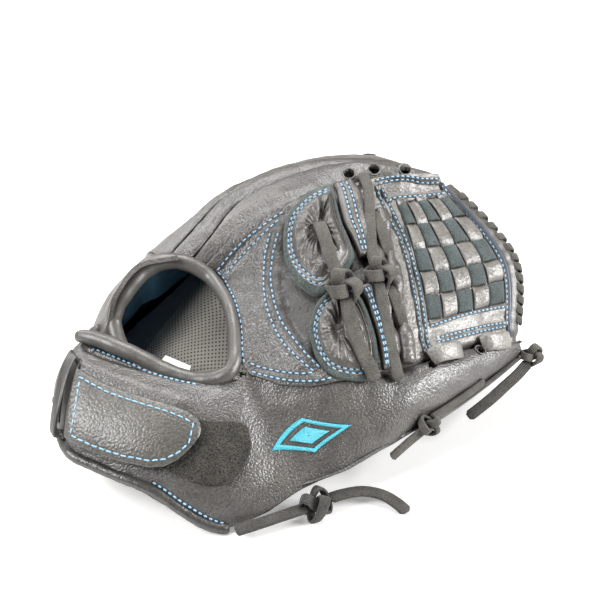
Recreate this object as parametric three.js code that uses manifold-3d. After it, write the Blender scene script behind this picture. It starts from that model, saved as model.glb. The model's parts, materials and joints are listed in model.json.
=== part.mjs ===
// A fielder's softball glove for the left hand, lying palm down.
// Millimetres, +Z up, +X towards the fingertips.
import * as THREE from 'three';
import { mergeVertices } from 'three/addons/utils/BufferGeometryUtils.js';
import Module from 'manifold-3d';

const wasm = await Module();
wasm.setup();

// Driving sizes, in millimetres and degrees
const clearance = 0.35; // gap between neighbouring pieces
const leather = 2.6; // shell leather
const palmLeather = 3.6; // palm leather, with its thin pad
const liningThickness = 1.2;
const weltRadius = 3.9; // rolled leather welts
const stallWallAtTip = 9;
const foldOpenAngle = 8; // how far the pocket opens past rest
const foldCloseAngle = 20; // how far the pocket closes past rest
const heelPadHeight = 5;
const bandPadThickness = 4.2;
const eyeletRadius = 2.6;

const laceWidth = 7;
const laceThickness = 2.4;
const heelLaceWidth = 10;
const knotLength = 15;
const knotHeight = 8.5;

const webThickness = 2.4;
const webBorder = 12; // plain leather between the bars and the weave
const webStripCount = 5;
const webStripWidth = 13;
const webStripThickness = 1.8;
const webSlotPitch = 16;
const webSlotLength = 8.4;
const webBarRadius = 3.4;
const webDepth = 2 * webBarRadius + 1.5 * clearance; // the web's face lies under the bars
const bindingRadius = 3;
const edgeLaceTurns = 13;
const edgeLaceRadius = 1.3;
const tabThickness = 4.2;

const strapThickness = 2.5;
const loopPatchThickness = 1.5;
const hookPatchThickness = 0.9;
const keeperHeight = 6.4;
const tagWidth = 17;
const tagHeight = 9;
const tagThickness = 0.8;

const vector = (x, y, z) => new THREE.Vector3(x, y, z);
const mix = (a, b, f) => a + (b - a) * f;

// Control nets. In the back and palm nets a row is one section across the glove, from the thumb's edge
// to the little finger's edge, and the rows go from the wrist to the tips.
const backRows = [
  [[-49, -73, 16], [-46, -47, 38], [-45, -14, 63], [-30, 22, 80], [-22, 55, 86], [-44, 77, 96],
    [-42, 107, 84], [-40, 125, 50], [-40, 127, 8]],
  [[-22, -79, 20], [-16, -64, 42], [-11, -47, 64], [10, -4, 94], [28, 45, 118], [17, 90, 116],
    [18, 115, 103], [20, 137, 62], [20, 138, 26]],
  [[13, -81, 26], [20, -76, 45], [37, -62, 63], [59, -16, 97], [79, 36, 122], [67, 76, 127],
    [66, 114, 107], [72, 140, 66], [74, 142, 28]],
  [[63, -75, 29], [66, -73, 43], [81, -62, 57], [100, -25, 91], [106, 30, 122], [98, 58, 127],
    [104, 110, 105], [112, 138, 60], [114, 140, 16]],
  [[124, -63, 32], [127, -63, 38], [131, -58, 46], [149, -27, 83], [134, 25, 118], [130, 42, 118],
    [134, 96, 100], [142, 124, 50], [142, 127, -2]],
];
const palmRows = [
  [[-95, -61, 2], [-105, -42, 0], [-116, -20, 3], [-126, 4, 8], [-131, 30, 9], [-129, 58, 6],
    [-122, 84, 1], [-104, 100, -2], [-92, 108, -3]],
  [[-68, -64, 8], [-70, -45, 12], [-74, -25, 18], [-78, 0, 25], [-82, 28, 28], [-82, 56, 27],
    [-78, 84, 19], [-72, 104, 9], [-68, 115, -2]],
  [[-47, -69, 14], [-42, -48, 21], [-36, -27, 33], [-31, 0, 46], [-30, 30, 53], [-32, 60, 52],
    [-36, 88, 40], [-38, 106, 24], [-40, 121, 6]],
  [[-20, -75, 18], [-10, -52, 28], [0, -30, 46], [12, 0, 68], [22, 34, 82], [18, 66, 90],
    [18, 92, 75], [20, 114, 46], [20, 131, 24]],
  [[16, -76, 24], [26, -60, 33], [42, -44, 48], [62, -14, 84], [74, 32, 98], [68, 62, 106],
    [68, 94, 88], [72, 118, 56], [74, 135, 26]],
  [[65, -73, 28], [70, -61, 34], [83, -48, 46], [101, -23, 84], [104, 28, 104], [98, 52, 107],
    [104, 92, 87], [112, 118, 52], [114, 133, 14]],
  [[124, -60, 31], [128, -57, 34], [130, -51, 40], [137, -27, 77], [132, 24, 104], [130, 38, 106],
    [134, 82, 87], [141, 108, 46], [142, 121, -2]],
];
// The wrist band's stations go from the thumb round to the little finger's side, each from hem to lip.
const bandRows = [
  [[-49, -73, 16], [-47, -55, 31], [-45, -33, 49], [-45, -14, 63]],
  [[-95, -63, 3.4], [-85, -54, 26], [-70, -35, 46], [-52, -11, 62]],
  [[-124, -31, 24], [-114, -23, 42], [-98, -9, 56], [-78, 14, 63]],
  [[-142, -5, 30], [-132, 4, 47], [-118, 21, 60], [-100, 40, 66]],
  [[-152, 20, 33], [-143, 30, 50], [-130, 45, 62], [-113, 60, 68]],
  [[-137, 62, 36], [-132, 64, 50], [-122, 66, 61], [-113, 66, 67]],
];
// The wrist panel on the little finger's side: stations from the wrist edge to the finger stalls.
const sideRows = [
  [[-96, 72, 67], [-102, 86, 50], [-94, 100, 26], [-86, 109, -2]],
  [[-86, 77, 82], [-80, 100, 64], [-75, 114, 34], [-72, 117, -2]],
  [[-66, 83, 92], [-60, 105, 74], [-57, 120, 42], [-56, 122, -1]],
  [[-44, 77, 96], [-42, 107, 84], [-40, 125, 50], [-40, 127, 8]],
];
const lastRow = backRows.length - 1;
const palmRowOffset = palmRows.length - backRows.length;

// The fold's axis runs from the web's index edge at the tip to the heel, in an upright plane.
const foldTip = vector(130, 26, 100);
const foldHeel = vector(-120, 73, 40);

// Catmull-Rom curve through points at u, where point number i lies at u = i
function splinePoint(points, u) {
  const i = Math.min(Math.max(Math.floor(u), 0), points.length - 2);
  const f = u - i;
  const p1 = points[i];
  const p2 = points[i + 1];
  const p0 = points[i - 1] ?? p1.clone().multiplyScalar(2).sub(p2);
  const p3 = points[i + 2] ?? p2.clone().multiplyScalar(2).sub(p1);
  const weights = [
    (-f + 2 * f ** 2 - f ** 3) / 2,
    (2 - 5 * f ** 2 + 3 * f ** 3) / 2,
    (f + 4 * f ** 2 - 3 * f ** 3) / 2,
    (-(f ** 2) + f ** 3) / 2,
  ];
  return vector(0, 0, 0)
    .addScaledVector(p0, weights[0]).addScaledVector(p1, weights[1])
    .addScaledVector(p2, weights[2]).addScaledVector(p3, weights[3]);
}

// A smooth surface over a control net, with its outward normal and points at a height above it
function netSurface(rows, outward) {
  const net = rows.map((row) => row.map(([x, y, z]) => vector(x, y, z)));
  const columnCount = net[0].length;
  const point = (column, row) => {
    const section = [];
    for (let j = 0; j < columnCount; j += 1) {
      section.push(splinePoint(net.map((line) => line[j]), row));
    }
    return splinePoint(section, column);
  };
  const step = 0.03;
  const normal = (column, row) => {
    const across = point(column + step, row).sub(point(column - step, row));
    const along = point(column, row + step).sub(point(column, row - step));
    return along.cross(across).normalize().multiplyScalar(outward);
  };
  const above = (column, row, height) => point(column, row).addScaledVector(normal(column, row), height);
  const columnsFor = (length, column, row) =>
    length / point(column + step, row).distanceTo(point(column - step, row)) * 2 * step;
  const rowsFor = (length, column, row) =>
    length / point(column, row + step).distanceTo(point(column, row - step)) * 2 * step;
  return { point, normal, above, columnsFor, rowsFor };
}
const back = netSurface(backRows, 1);
const palm = netSurface(palmRows, 1);
const band = netSurface(bandRows, -1);
const side = netSurface(sideRows, 1);

// A closed geometry from points and triangles, turned so that it encloses a positive volume
function closedGeometry(points, triangles) {
  let volume = 0;
  for (const [a, b, c] of triangles) {
    volume += points[a].dot(points[b].clone().cross(points[c]));
  }
  const faces = volume > 0 ? triangles : triangles.map(([a, b, c]) => [a, c, b]);
  const geometry = new THREE.BufferGeometry();
  const coordinates = points.flatMap((p) => [p.x, p.y, p.z]);
  geometry.setAttribute('position', new THREE.Float32BufferAttribute(coordinates, 3));
  geometry.setIndex(faces.flat());
  return geometry;
}

// A slab between two point functions of a and b, each from 0 to 1
function slab(countA, countB, lower, upper) {
  const points = [];
  const triangles = [];
  const layer = (countA + 1) * (countB + 1);
  for (const place of [lower, upper]) {
    for (let i = 0; i <= countA; i += 1) {
      for (let j = 0; j <= countB; j += 1) {
        points.push(place(i / countA, j / countB));
      }
    }
  }
  const at = (i, j) => i * (countB + 1) + j;
  const quad = (a, b, c, d) => triangles.push([a, b, c], [a, c, d]);
  for (let i = 0; i < countA; i += 1) {
    for (let j = 0; j < countB; j += 1) {
      quad(at(i, j), at(i, j + 1), at(i + 1, j + 1), at(i + 1, j));
      quad(layer + at(i, j), layer + at(i + 1, j), layer + at(i + 1, j + 1), layer + at(i, j + 1));
    }
  }
  for (let i = 0; i < countA; i += 1) {
    quad(at(i, 0), at(i + 1, 0), layer + at(i + 1, 0), layer + at(i, 0));
    quad(at(i + 1, countB), at(i, countB), layer + at(i, countB), layer + at(i + 1, countB));
  }
  for (let j = 0; j < countB; j += 1) {
    quad(at(0, j + 1), at(0, j), layer + at(0, j), layer + at(0, j + 1));
    quad(at(countA, j), at(countA, j + 1), layer + at(countA, j + 1), layer + at(countA, j));
  }
  return closedGeometry(points, triangles);
}

// A solid through rings of equal point counts, closed at both ends by fans about their centres
function loft(rings) {
  const count = rings[0].length;
  const points = rings.flat();
  const triangles = [];
  for (let i = 0; i < rings.length - 1; i += 1) {
    for (let j = 0; j < count; j += 1) {
      const next = (j + 1) % count;
      const a = i * count + j;
      const b = i * count + next;
      triangles.push([a, b, b + count], [a, b + count, a + count]);
    }
  }
  [0, rings.length - 1].forEach((i, end) => {
    const centre = rings[i].reduce((sum, p) => sum.add(p), vector(0, 0, 0)).divideScalar(count);
    points.push(centre);
    for (let j = 0; j < count; j += 1) {
      const a = i * count + j;
      const b = i * count + (j + 1) % count;
      triangles.push(end === 0 ? [points.length - 1, b, a] : [points.length - 1, a, b]);
    }
  });
  return closedGeometry(points, triangles);
}

// Joining and cutting
function solidOf(geometry) {
  const plain = geometry.clone();
  plain.deleteAttribute('normal');
  plain.deleteAttribute('uv');
  const merged = mergeVertices(plain, 1e-5);
  return new wasm.Manifold(new wasm.Mesh({
    numProp: 3,
    vertProperties: new Float32Array(merged.attributes.position.array),
    triVerts: new Uint32Array(merged.index.array),
  }));
}

function geometryOf(solid) {
  const mesh = solid.getMesh();
  const geometry = new THREE.BufferGeometry();
  geometry.setAttribute('position', new THREE.BufferAttribute(new Float32Array(mesh.vertProperties), 3));
  geometry.setIndex(new THREE.BufferAttribute(new Uint32Array(mesh.triVerts), 1));
  return geometry;
}

// The largest body that is left of a geometry after every cutter is taken away
function cut(geometry, cutters) {
  let solid = solidOf(geometry);
  for (const cutter of cutters) {
    solid = solid.subtract(solidOf(cutter));
  }
  const bodies = solid.decompose();
  bodies.sort((a, b) => b.volume() - a.volume());
  return geometryOf(bodies[0]);
}

function join(geometries) {
  return geometryOf(geometries.map(solidOf).reduce((sum, solid) => sum.add(solid)));
}

// Clearance blocks at the fold and at the floor
const foldAlong = foldTip.clone().sub(foldHeel).normalize();
const foldAcross = vector(-foldAlong.y, foldAlong.x, 0).normalize();
const foldUp = foldAlong.clone().cross(foldAcross);
const reach = 400;

function foldBlock(outline) {
  const shape = new THREE.Shape(outline.map(([across, up]) => new THREE.Vector2(across, up)));
  const block = new THREE.ExtrudeGeometry(shape, { depth: 2 * reach, bevelEnabled: false });
  block.translate(0, 0, -reach);
  const placed = new THREE.Matrix4().makeBasis(foldAcross, foldUp, foldAlong).setPosition(foldTip);
  return block.applyMatrix4(placed);
}
const openGap = reach * Math.tan(THREE.MathUtils.degToRad(foldOpenAngle));
const closeGap = reach * Math.tan(THREE.MathUtils.degToRad(foldCloseAngle));
const fingerBlock = foldBlock([
  [reach, -reach], [reach, reach],
  [-clearance - openGap, reach], [-clearance, 0], [-clearance - closeGap, -reach],
]);
const thumbBlock = foldBlock([[-reach, -reach], [0, -reach], [0, reach], [-reach, reach]]);
const floorBlock = new THREE.BoxGeometry(2 * reach, 2 * reach, reach).translate(0, 0, -reach / 2);

// Materials, with the photograph's colours
const finish = (color, roughness) => new THREE.MeshStandardMaterial({ color, roughness, metalness: 0 });
const greyLeather = finish('#6f6b67', 0.55);
const darkLeather = finish('#55524f', 0.55);
const suede = finish('#565b59', 0.95);
const laceLeather = finish('#5b5855', 0.6);
const blueLining = finish('#33546b', 0.85);
const perforatedLining = finish('#7b7773', 0.7);
const loopPile = finish('#2b2a29', 1);
const felt = finish('#b8b0a2', 1);
const whiteTape = finish('#e9e8e4', 0.8);

const group = new THREE.Group();
function add(name, geometry, material) {
  const mesh = new THREE.Mesh(geometry, material);
  mesh.name = name;
  group.add(mesh);
}

// A round tube along points, and a flat lace whose face looks along the given normals
function directionAt(points, i) {
  const next = points[Math.min(i + 1, points.length - 1)];
  const previous = points[Math.max(i - 1, 0)];
  return next.clone().sub(previous).normalize();
}

function tube(points, radius, sides) {
  const rings = points.map((p, i) => {
    const along = directionAt(points, i);
    const aside = along.clone().cross(vector(0, 0, 1)).normalize();
    const upward = aside.clone().cross(along);
    return ringPoints(p, aside, upward, radius, radius, sides);
  });
  return loft(rings);
}

function ringPoints(centre, aside, upward, halfWidth, halfHeight, sides) {
  const ring = [];
  for (let k = 0; k < sides; k += 1) {
    const angle = 2 * Math.PI * (k + 0.5) / sides;
    ring.push(centre.clone()
      .addScaledVector(aside, Math.cos(angle) * halfWidth)
      .addScaledVector(upward, Math.sin(angle) * halfHeight));
  }
  return ring;
}

const laceSides = 8;
const laceCorner = 1 / Math.cos(Math.PI / laceSides);
function flatLace(points, normals, width, thickness) {
  const rings = points.map((p, i) => {
    const along = directionAt(points, i);
    const aside = along.clone().cross(normals[i]).normalize();
    const upward = aside.clone().cross(along);
    return ringPoints(p, aside, upward, laceCorner * width / 2, laceCorner * thickness / 2, laceSides);
  });
  return loft(rings);
}

// A lace over a surface through [column, row, height] stops
function surfaceLace(surface, stops, steps, width = laceWidth) {
  const controls = stops.map(([column, row, height]) => vector(column, row, height));
  const points = [];
  const normals = [];
  for (let i = 0; i <= steps; i += 1) {
    const stop = splinePoint(controls, (controls.length - 1) * i / steps);
    points.push(surface.above(stop.x, stop.y, stop.z));
    normals.push(surface.normal(stop.x, stop.y));
  }
  return flatLace(points, normals, width, laceThickness);
}

// A knot: an ellipsoid lump whose base sits on a surface point
function knot(place, along, upward, length = knotLength, height = knotHeight) {
  const lump = new THREE.SphereGeometry(0.5, 10, 8);
  const axis = along.clone().normalize();
  const aside = upward.clone().cross(axis).normalize();
  const top = axis.clone().cross(aside);
  const frame = new THREE.Matrix4().makeBasis(axis, aside, top).setPosition(place);
  lump.scale(length, length * 0.8, height);
  return lump.applyMatrix4(frame);
}

// Finger and thumb stalls: arched leather shells over the palm, closed at the tip
const archSteps = 10;
const archPower = 0.5;
const baseSteps = 2;
const stallBase = palmLeather + 2.5 * clearance;
const tipRounding = [[3.75, 0.96, 0.97], [3.92, 0.78, 0.9], [4, 0.52, 0.8]];

function stallRing(columns, row, inset, drop, lowered, tip) {
  const [, heightScale, widthScale] = tip;
  const middle = (columns[0] + columns[1]) / 2;
  const insetColumns = back.columnsFor(inset, middle, Math.min(row, lastRow));
  const half = (columns[1] - columns[0]) / 2 * widthScale - insetColumns;
  const base = (column) => palm.above(column, row + palmRowOffset, stallBase - lowered);
  const top = (column) => back.above(column, row, -drop);
  const ring = [];
  for (let k = 0; k <= archSteps; k += 1) {
    const angle = Math.PI * (1 - k / archSteps);
    const x = Math.sign(Math.cos(angle)) * Math.abs(Math.cos(angle)) ** archPower;
    const rise = Math.abs(Math.sin(angle)) ** archPower * heightScale;
    const column = middle + half * x;
    ring.push(base(column).lerp(top(column), rise));
  }
  for (let k = 1; k < baseSteps; k += 1) {
    ring.push(base(middle + half * mix(1, -1, k / baseSteps)));
  }
  return ring;
}

function stallLoaf(columns, rows, inset, drop, lowered, rounded) {
  const rings = rows.map((row) => stallRing(columns, row, inset, drop, lowered, [row, 1, 1]));
  if (rounded) {
    tipRounding.forEach((tip) => rings.push(stallRing(columns, tip[0], inset, drop, lowered, tip)));
  }
  return loft(rings);
}

const stallRows = [0, 0.5, 1, 1.5, 2, 2.5, 3, 3.5];
function stall(columns) {
  const middle = (columns[0] + columns[1]) / 2;
  const cavityEnd = lastRow - back.rowsFor(stallWallAtTip, middle, lastRow - 0.5);
  const cavityRows = [-0.3, ...stallRows.slice(0, -1), cavityEnd];
  const outer = stallLoaf(columns, stallRows, clearance, 0, 0, true);
  const cavity = stallLoaf(columns, cavityRows, leather + clearance, leather, 2 * stallBase, false);
  return cut(outer, [cavity]);
}

// Welts along the hand opening, the band's hem and the wrist edge
function curvePoints(place, from, to, steps) {
  const points = [];
  for (let i = 0; i <= steps; i += 1) {
    points.push(place(mix(from, to, i / steps)));
  }
  return points;
}
const weltSides = 8;
const weltClear = weltRadius / Math.cos(Math.PI / weltSides) + clearance;
const rimColumn = { thumb: 2, fold: 4, ridge: 5 };
const gussetRim = curvePoints((c) => back.point(c, 0), rimColumn.thumb + 0.08, rimColumn.fold, 10);
const fingerRim = [
  ...curvePoints((c) => back.point(c, 0), rimColumn.fold, rimColumn.ridge, 5),
  ...curvePoints((r) => side.point(0, r), sideRows.length - 1, 0.06, 9).slice(1),
];
const bandEnd = bandRows.length - 1;
const lipLine = curvePoints((r) => band.point(3, r), 0.35, bandEnd, 14);
const hemLine = curvePoints((r) => band.point(0, r), 0.93, bandEnd, 14);
const wristEdge = curvePoints((c) => side.point(c, 0), 0.22, 2.86, 10);

const weltTubes = { gussetRim, fingerRim, lipLine, hemLine, wristEdge };
const weltCutters = {};
for (const [name, points] of Object.entries(weltTubes)) {
  weltCutters[name] = tube(points, weltClear, weltSides);
}
const allWelts = Object.values(weltCutters);

const welt = (points, cutters) => cut(tube(points, weltRadius, weltSides), cutters);
add('opening_welt_gusset', welt(gussetRim, [fingerBlock, weltCutters.lipLine]), darkLeather);
add('opening_welt_fingers', welt(fingerRim, [thumbBlock]), darkLeather);
add('band_lip_welt', welt(lipLine, [fingerBlock]), darkLeather);
add('heel_welt', welt(hemLine, [fingerBlock, floorBlock]), darkLeather);
add('side_wrist_welt', welt(wristEdge, [thumbBlock, floorBlock, weltCutters.fingerRim]), darkLeather);

// Stalls, with the punched lace eyelets of the index finger and the thumb
function eyelets(places) {
  return places.map(([column, row]) => {
    const punch = new THREE.CylinderGeometry(eyeletRadius, eyeletRadius, 6 * leather, 8);
    const turn = new THREE.Quaternion().setFromUnitVectors(vector(0, 1, 0), back.normal(column, row));
    return punch.applyQuaternion(turn).translate(...back.point(column, row).toArray());
  });
}
const indexColumns = [4.24, 5.09];
const indexEyelets = eyelets([[4.5, 1.75], [4.5, 2.2], [4.5, 2.85]]);
const thumbEyelets = eyelets([[1.72, 2.4], [1.72, 3.3]]);
const stallCuts = [...allWelts, floorBlock];
add('index_stall', cut(stall(indexColumns), [...stallCuts, thumbBlock, ...indexEyelets]), greyLeather);
add('middle_stall', cut(stall([5.1, 6.05]), stallCuts), greyLeather);
add('ring_stall', cut(stall([6.05, 7]), stallCuts), greyLeather);
add('pinky_stall', cut(stall([7, 8]), stallCuts), greyLeather);
add('thumb_stall', cut(stall([0, 2]), [...stallCuts, ...thumbEyelets]), greyLeather);

// Felt that stiffens the thumb and the little finger, inside their stalls
function feltPad(columns, rows) {
  const height = (column, row, share) => palm.above(column, row + palmRowOffset, palmLeather + 1.5 * clearance)
    .lerp(back.above(column, row, -leather), share);
  const place = (share) => (a, b) => height(mix(columns[0], columns[1], a), mix(rows[0], rows[1], b), share);
  return slab(4, 6, place(0), place(0.5));
}
add('thumb_felt', feltPad([0.55, 1.5], [1.8, 3.2]), felt);
add('pinky_felt', feltPad([7.2, 7.62], [1.4, 3]), felt);

// Sheets of leather on a surface
function sheet(surface, columns, rows, bottom, top, countA = 8, countB = 8) {
  const place = (height) => (a, b) =>
    surface.above(mix(columns[0], columns[1], a), mix(rows[0], rows[1], b), height);
  return slab(countA, countB, place(bottom), place(top));
}

const bandSheet = sheet(band, [0, 3], [0.06, bandEnd], -leather, 0, 5, 12);
const bandClear = sheet(band, [-0.05, 3], [0.02, bandEnd], -leather - clearance, clearance, 5, 12);
add('wrist_band', cut(bandSheet, [...allWelts, fingerBlock, floorBlock]), greyLeather);
const bandPadTop = -leather - 2 * clearance;
const bandPad = sheet(band, [0.5, 2.5], [1.2, 4.4], bandPadTop - bandPadThickness, bandPadTop, 4, 10);
add('band_pad', cut(bandPad, [bandClear, ...allWelts]), felt);

const sideSheet = sheet(side, [0, 3], [0, 2.85], -leather, 0, 5, 6);
const sideClear = sheet(side, [0, 3.05], [-0.05, 3], -leather - clearance, clearance, 5, 6);
add('side_wrist_panel', cut(sideSheet, [...allWelts, thumbBlock, floorBlock]), greyLeather);
const sideLiningTop = -leather - 2 * clearance;
const sideLining = sheet(side, [0.2, 2.2], [0.3, 2.8], sideLiningTop - liningThickness, sideLiningTop, 5, 7);
add('back_lining', cut(sideLining, [sideClear, ...allWelts, thumbBlock]), blueLining);

const gussetEnd = 1.56;
const rowPastGusset = (length, column) => gussetEnd + back.rowsFor(length, column, gussetEnd);
const gusset = sheet(back, [2.03, indexColumns[0]], [0, gussetEnd], -leather, 0, 9, 6);
const indexClear = stallLoaf(indexColumns, stallRows, -clearance, -clearance, 0, true);
add('gusset_thumb_side', cut(gusset, [...allWelts, fingerBlock]), greyLeather);
add('gusset_finger_side', cut(gusset, [...allWelts, thumbBlock, indexClear]), greyLeather);

// Palm leather, lining and heel pads
const palmEnd = palmRows.length - 1;
const palmSheet = sheet(palm, [0, 8], [0, palmEnd], 0, palmLeather, 16, 12);
const webNotchRows = [palmRowOffset + rowPastGusset(2 * webBarRadius, 3), palmEnd + 0.3];
const webNotch = sheet(palm, [2.04, 4.06], webNotchRows, -4 * palmLeather, 5 * palmLeather, 6, 4);
const palmCuts = [bandClear, sideClear, ...allWelts, webNotch, floorBlock];
add('palm_thumb_side', cut(palmSheet, [...palmCuts, fingerBlock]), darkLeather);
add('palm_finger_side', cut(palmSheet, [...palmCuts, thumbBlock]), darkLeather);

const liningBase = palmLeather + 2.5 * clearance;
const lining = sheet(palm, [2.35, 6.3], [0.12, 1.94], liningBase, liningBase + liningThickness, 12, 5);
add('palm_lining_thumb_side', cut(lining, [fingerBlock, bandClear, ...allWelts]), perforatedLining);
add('palm_lining_finger_side', cut(lining, [thumbBlock, sideClear, ...allWelts]), perforatedLining);

function heelPad(columns, rows) {
  const crown = (a, b) => (1 - (2 * a - 1) ** 4) * (1 - (2 * b - 1) ** 4);
  const at = (a, b, height) => palm.above(mix(columns[0], columns[1], a), mix(rows[0], rows[1], b), height);
  return slab(6, 6, (a, b) => at(a, b, liningBase),
    (a, b) => at(a, b, liningBase + mix(0.16, 1, crown(a, b)) * heelPadHeight));
}
add('thumb_heel_pad', cut(heelPad([0.9, 2.25], [0.3, 1.5]), [bandClear, ...allWelts]), felt);
add('pinky_heel_pad', cut(heelPad([6.4, 7.5], [0.35, 1.5]), [sideClear, ...allWelts, thumbBlock]), felt);

// Web: a slit leather panel with suede strips woven along it
const webRows = [rowPastGusset(2 * webBarRadius + 2 * clearance, 3), 3.8];
const webColumns = [2.06, 3.97];
const webMiddle = -webDepth - webThickness / 2;
const barPitch = 2 * webBarRadius + 2 * clearance;
const webPanel = sheet(back, webColumns, webRows, -webDepth - webThickness, -webDepth, 10, 8);
const stripLift = (webThickness + webStripThickness) / 2 + clearance;
const stripColumns = [2.36, 3.6];
const stripRows = [rowPastGusset(2 * barPitch + webBorder, 3), webRows[1] - 0.09];
const stripColumn = (index) => mix(stripColumns[0], stripColumns[1], index / (webStripCount - 1));
const slotRowPitch = back.rowsFor(webSlotPitch, 3, 3);
const slotRowLength = back.rowsFor(webSlotLength, 3, 3);
const slotCount = Math.floor((stripRows[1] - stripRows[0]) / slotRowPitch);
const firstSlot = (stripRows[0] + stripRows[1] - (slotCount - 1) * slotRowPitch) / 2;
const slots = [];
for (let index = 0; index < webStripCount; index += 1) {
  const column = stripColumn(index);
  const halfColumn = back.columnsFor(webStripWidth / 2 + 2 * clearance, column, 3);
  for (let slot = 0; slot < slotCount; slot += 1) {
    const row = firstSlot + slot * slotRowPitch;
    const columns = [column - halfColumn, column + halfColumn];
    const rows = [row - slotRowLength / 2, row + slotRowLength / 2];
    slots.push(sheet(back, columns, rows, webMiddle - 3 * webThickness, webMiddle + 3 * webThickness, 1, 1));
  }
}
add('web_panel', cut(webPanel, [...slots, fingerBlock]), greyLeather);

// A strip's height: level runs above and below the panel, with a straight ramp through each slot
const rampRows = slotRowLength * 0.62;
function stripHeight(row, index) {
  const slot = (row - firstSlot) / slotRowPitch;
  const nearest = Math.min(Math.max(Math.round(slot), 0), slotCount - 1);
  const ramp = THREE.MathUtils.clamp((row - firstSlot - nearest * slotRowPitch) / rampRows, -0.5, 0.5) * 2;
  const rising = (nearest + index) % 2 === 0 ? 1 : -1;
  return webMiddle + rising * ramp * stripLift;
}
function webStrip(index) {
  const stations = [stripRows[0]];
  for (let slot = 0; slot < slotCount; slot += 1) {
    const row = firstSlot + slot * slotRowPitch;
    stations.push(row - rampRows / 2, row, row + rampRows / 2);
  }
  stations.push(stripRows[1]);
  const column = stripColumn(index);
  const half = back.columnsFor(webStripWidth / 2, column, 3);
  const place = (face) => (a, b) => {
    const row = stations[Math.round(b * (stations.length - 1))];
    const height = stripHeight(row, index) + face * webStripThickness / 2;
    return back.above(column + mix(-half, half, a), row, height);
  };
  return slab(2, stations.length - 1, place(-1), place(1));
}
for (let index = 0; index < webStripCount; index += 1) {
  add(`web_strip_${index + 1}`, webStrip(index), suede);
}

// Web edges: two rolled bars at the crotch, the outer binding and the lace wound round it
for (let index = 0; index < 2; index += 1) {
  const distance = webBarRadius + 2 * clearance + index * barPitch;
  const line = curvePoints((c) => back.above(c, rowPastGusset(distance, c), -webBarRadius), 2.2, 3.72, 12);
  add(`web_bar_${index + 1}`, tube(line, webBarRadius, 8), darkLeather);
}
const barLaceRow = rowPastGusset(barPitch, 3);
const bindingColumns = [2.12, 3.9];
const bindingLine = (column) => back.above(column, lastRow, webMiddle);
const bindingTube = tube(curvePoints(bindingLine, ...bindingColumns, 16), bindingRadius, 8);
add('web_binding', cut(bindingTube, [fingerBlock]), darkLeather);

const edgeLaceColumns = [2.26, 3.7];
const edgeLaceOrbit = bindingRadius / Math.cos(Math.PI / 8) + clearance + edgeLaceRadius;
const stepsPerTurn = 10;
function edgeLace() {
  const points = [];
  const steps = edgeLaceTurns * stepsPerTurn;
  for (let i = 0; i <= steps; i += 1) {
    const column = mix(edgeLaceColumns[0], edgeLaceColumns[1], i / steps);
    const along = bindingLine(column + 0.02).sub(bindingLine(column - 0.02)).normalize();
    const upward = back.normal(column, lastRow);
    const outward = along.clone().cross(upward).normalize();
    const angle = 2 * Math.PI * i / stepsPerTurn;
    points.push(bindingLine(column)
      .addScaledVector(upward, Math.cos(angle) * edgeLaceOrbit)
      .addScaledVector(outward, Math.sin(angle) * edgeLaceOrbit));
  }
  let least = Infinity;
  for (let i = 0; i < points.length; i += 1) {
    for (let j = i + Math.floor(stepsPerTurn / 2); j < points.length; j += 1) {
      least = Math.min(least, points[i].distanceTo(points[j]) - 2 * edgeLaceRadius);
    }
  }
  console.log(`web_edge_lace: least gap to itself ${least.toFixed(2)} mm`);
  return tube(points, edgeLaceRadius, 5);
}
add('web_edge_lace', edgeLace(), laceLeather);

// Two padded tabs that anchor the web on the gusset
function webTab(columns, rows) {
  const middle = (columns[0] + columns[1]) / 2;
  const half = (columns[1] - columns[0]) / 2;
  const place = (height) => (a, b) => {
    const narrowing = mix(0.45, 1, (1 - Math.abs(2 * b - 1) ** 3) ** (1 / 3));
    const crown = (1 - (2 * a - 1) ** 4) * (1 - (2 * b - 1) ** 4);
    return back.above(middle + half * narrowing * (2 * a - 1), mix(rows[0], rows[1], b), height(crown));
  };
  return slab(6, 8, place(() => clearance), place((crown) => clearance + tabThickness * mix(0.45, 1, crown)));
}
const tabRows = [0.72, 1.44];
add('web_tab_index', cut(webTab([3.02, 3.84], tabRows), [fingerBlock]), greyLeather);
add('web_tab_thumb', webTab([2.12, 2.92], tabRows), greyLeather);

// Laces over the tabs and bars, with their knots and tails
const laceTop = laceThickness / 2 * laceCorner + clearance;
const tabLaceHeight = tabThickness + clearance + laceTop;
const tabLaceStops = [[3.62, 1.1, tabLaceHeight], [3.2, 1.2, tabLaceHeight], [2.92, 1.28, tabLaceHeight],
  [2.6, 1.32, tabLaceHeight], [2.2, 1.38, tabLaceHeight]];
add('tab_lace', cut(surfaceLace(back, tabLaceStops, 14), [fingerBlock]), laceLeather);
const barLaceHeight = laceTop;
const barLaceStops = [3.7, 3.2, 2.7, 2.24].map((column) => [column, barLaceRow, barLaceHeight]);
add('bar_lace', surfaceLace(back, barLaceStops, 12), laceLeather);

function tailedKnot(column, row, base, tailStops) {
  const upward = back.normal(column, row);
  const along = back.point(column + 0.1, row).sub(back.point(column - 0.1, row));
  const centre = base + knotHeight / 2;
  const lump = knot(back.above(column, row, centre), along, upward);
  const stops = [[column, row, centre], ...tailStops.map(([c, r]) => [c, r, centre - laceThickness / 2])];
  return join([lump, surfaceLace(back, stops, 8)]);
}
add('tab_knot', tailedKnot(2.92, 1.28, tabLaceHeight + laceTop, [[2.7, 1.2], [2.42, 1.14]]), laceLeather);
const barTail = [[2.75, barLaceRow + 0.07], [2.42, barLaceRow + 0.11]];
add('bar_knot', tailedKnot(2.98, barLaceRow, barLaceHeight + laceTop, barTail), laceLeather);

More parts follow.
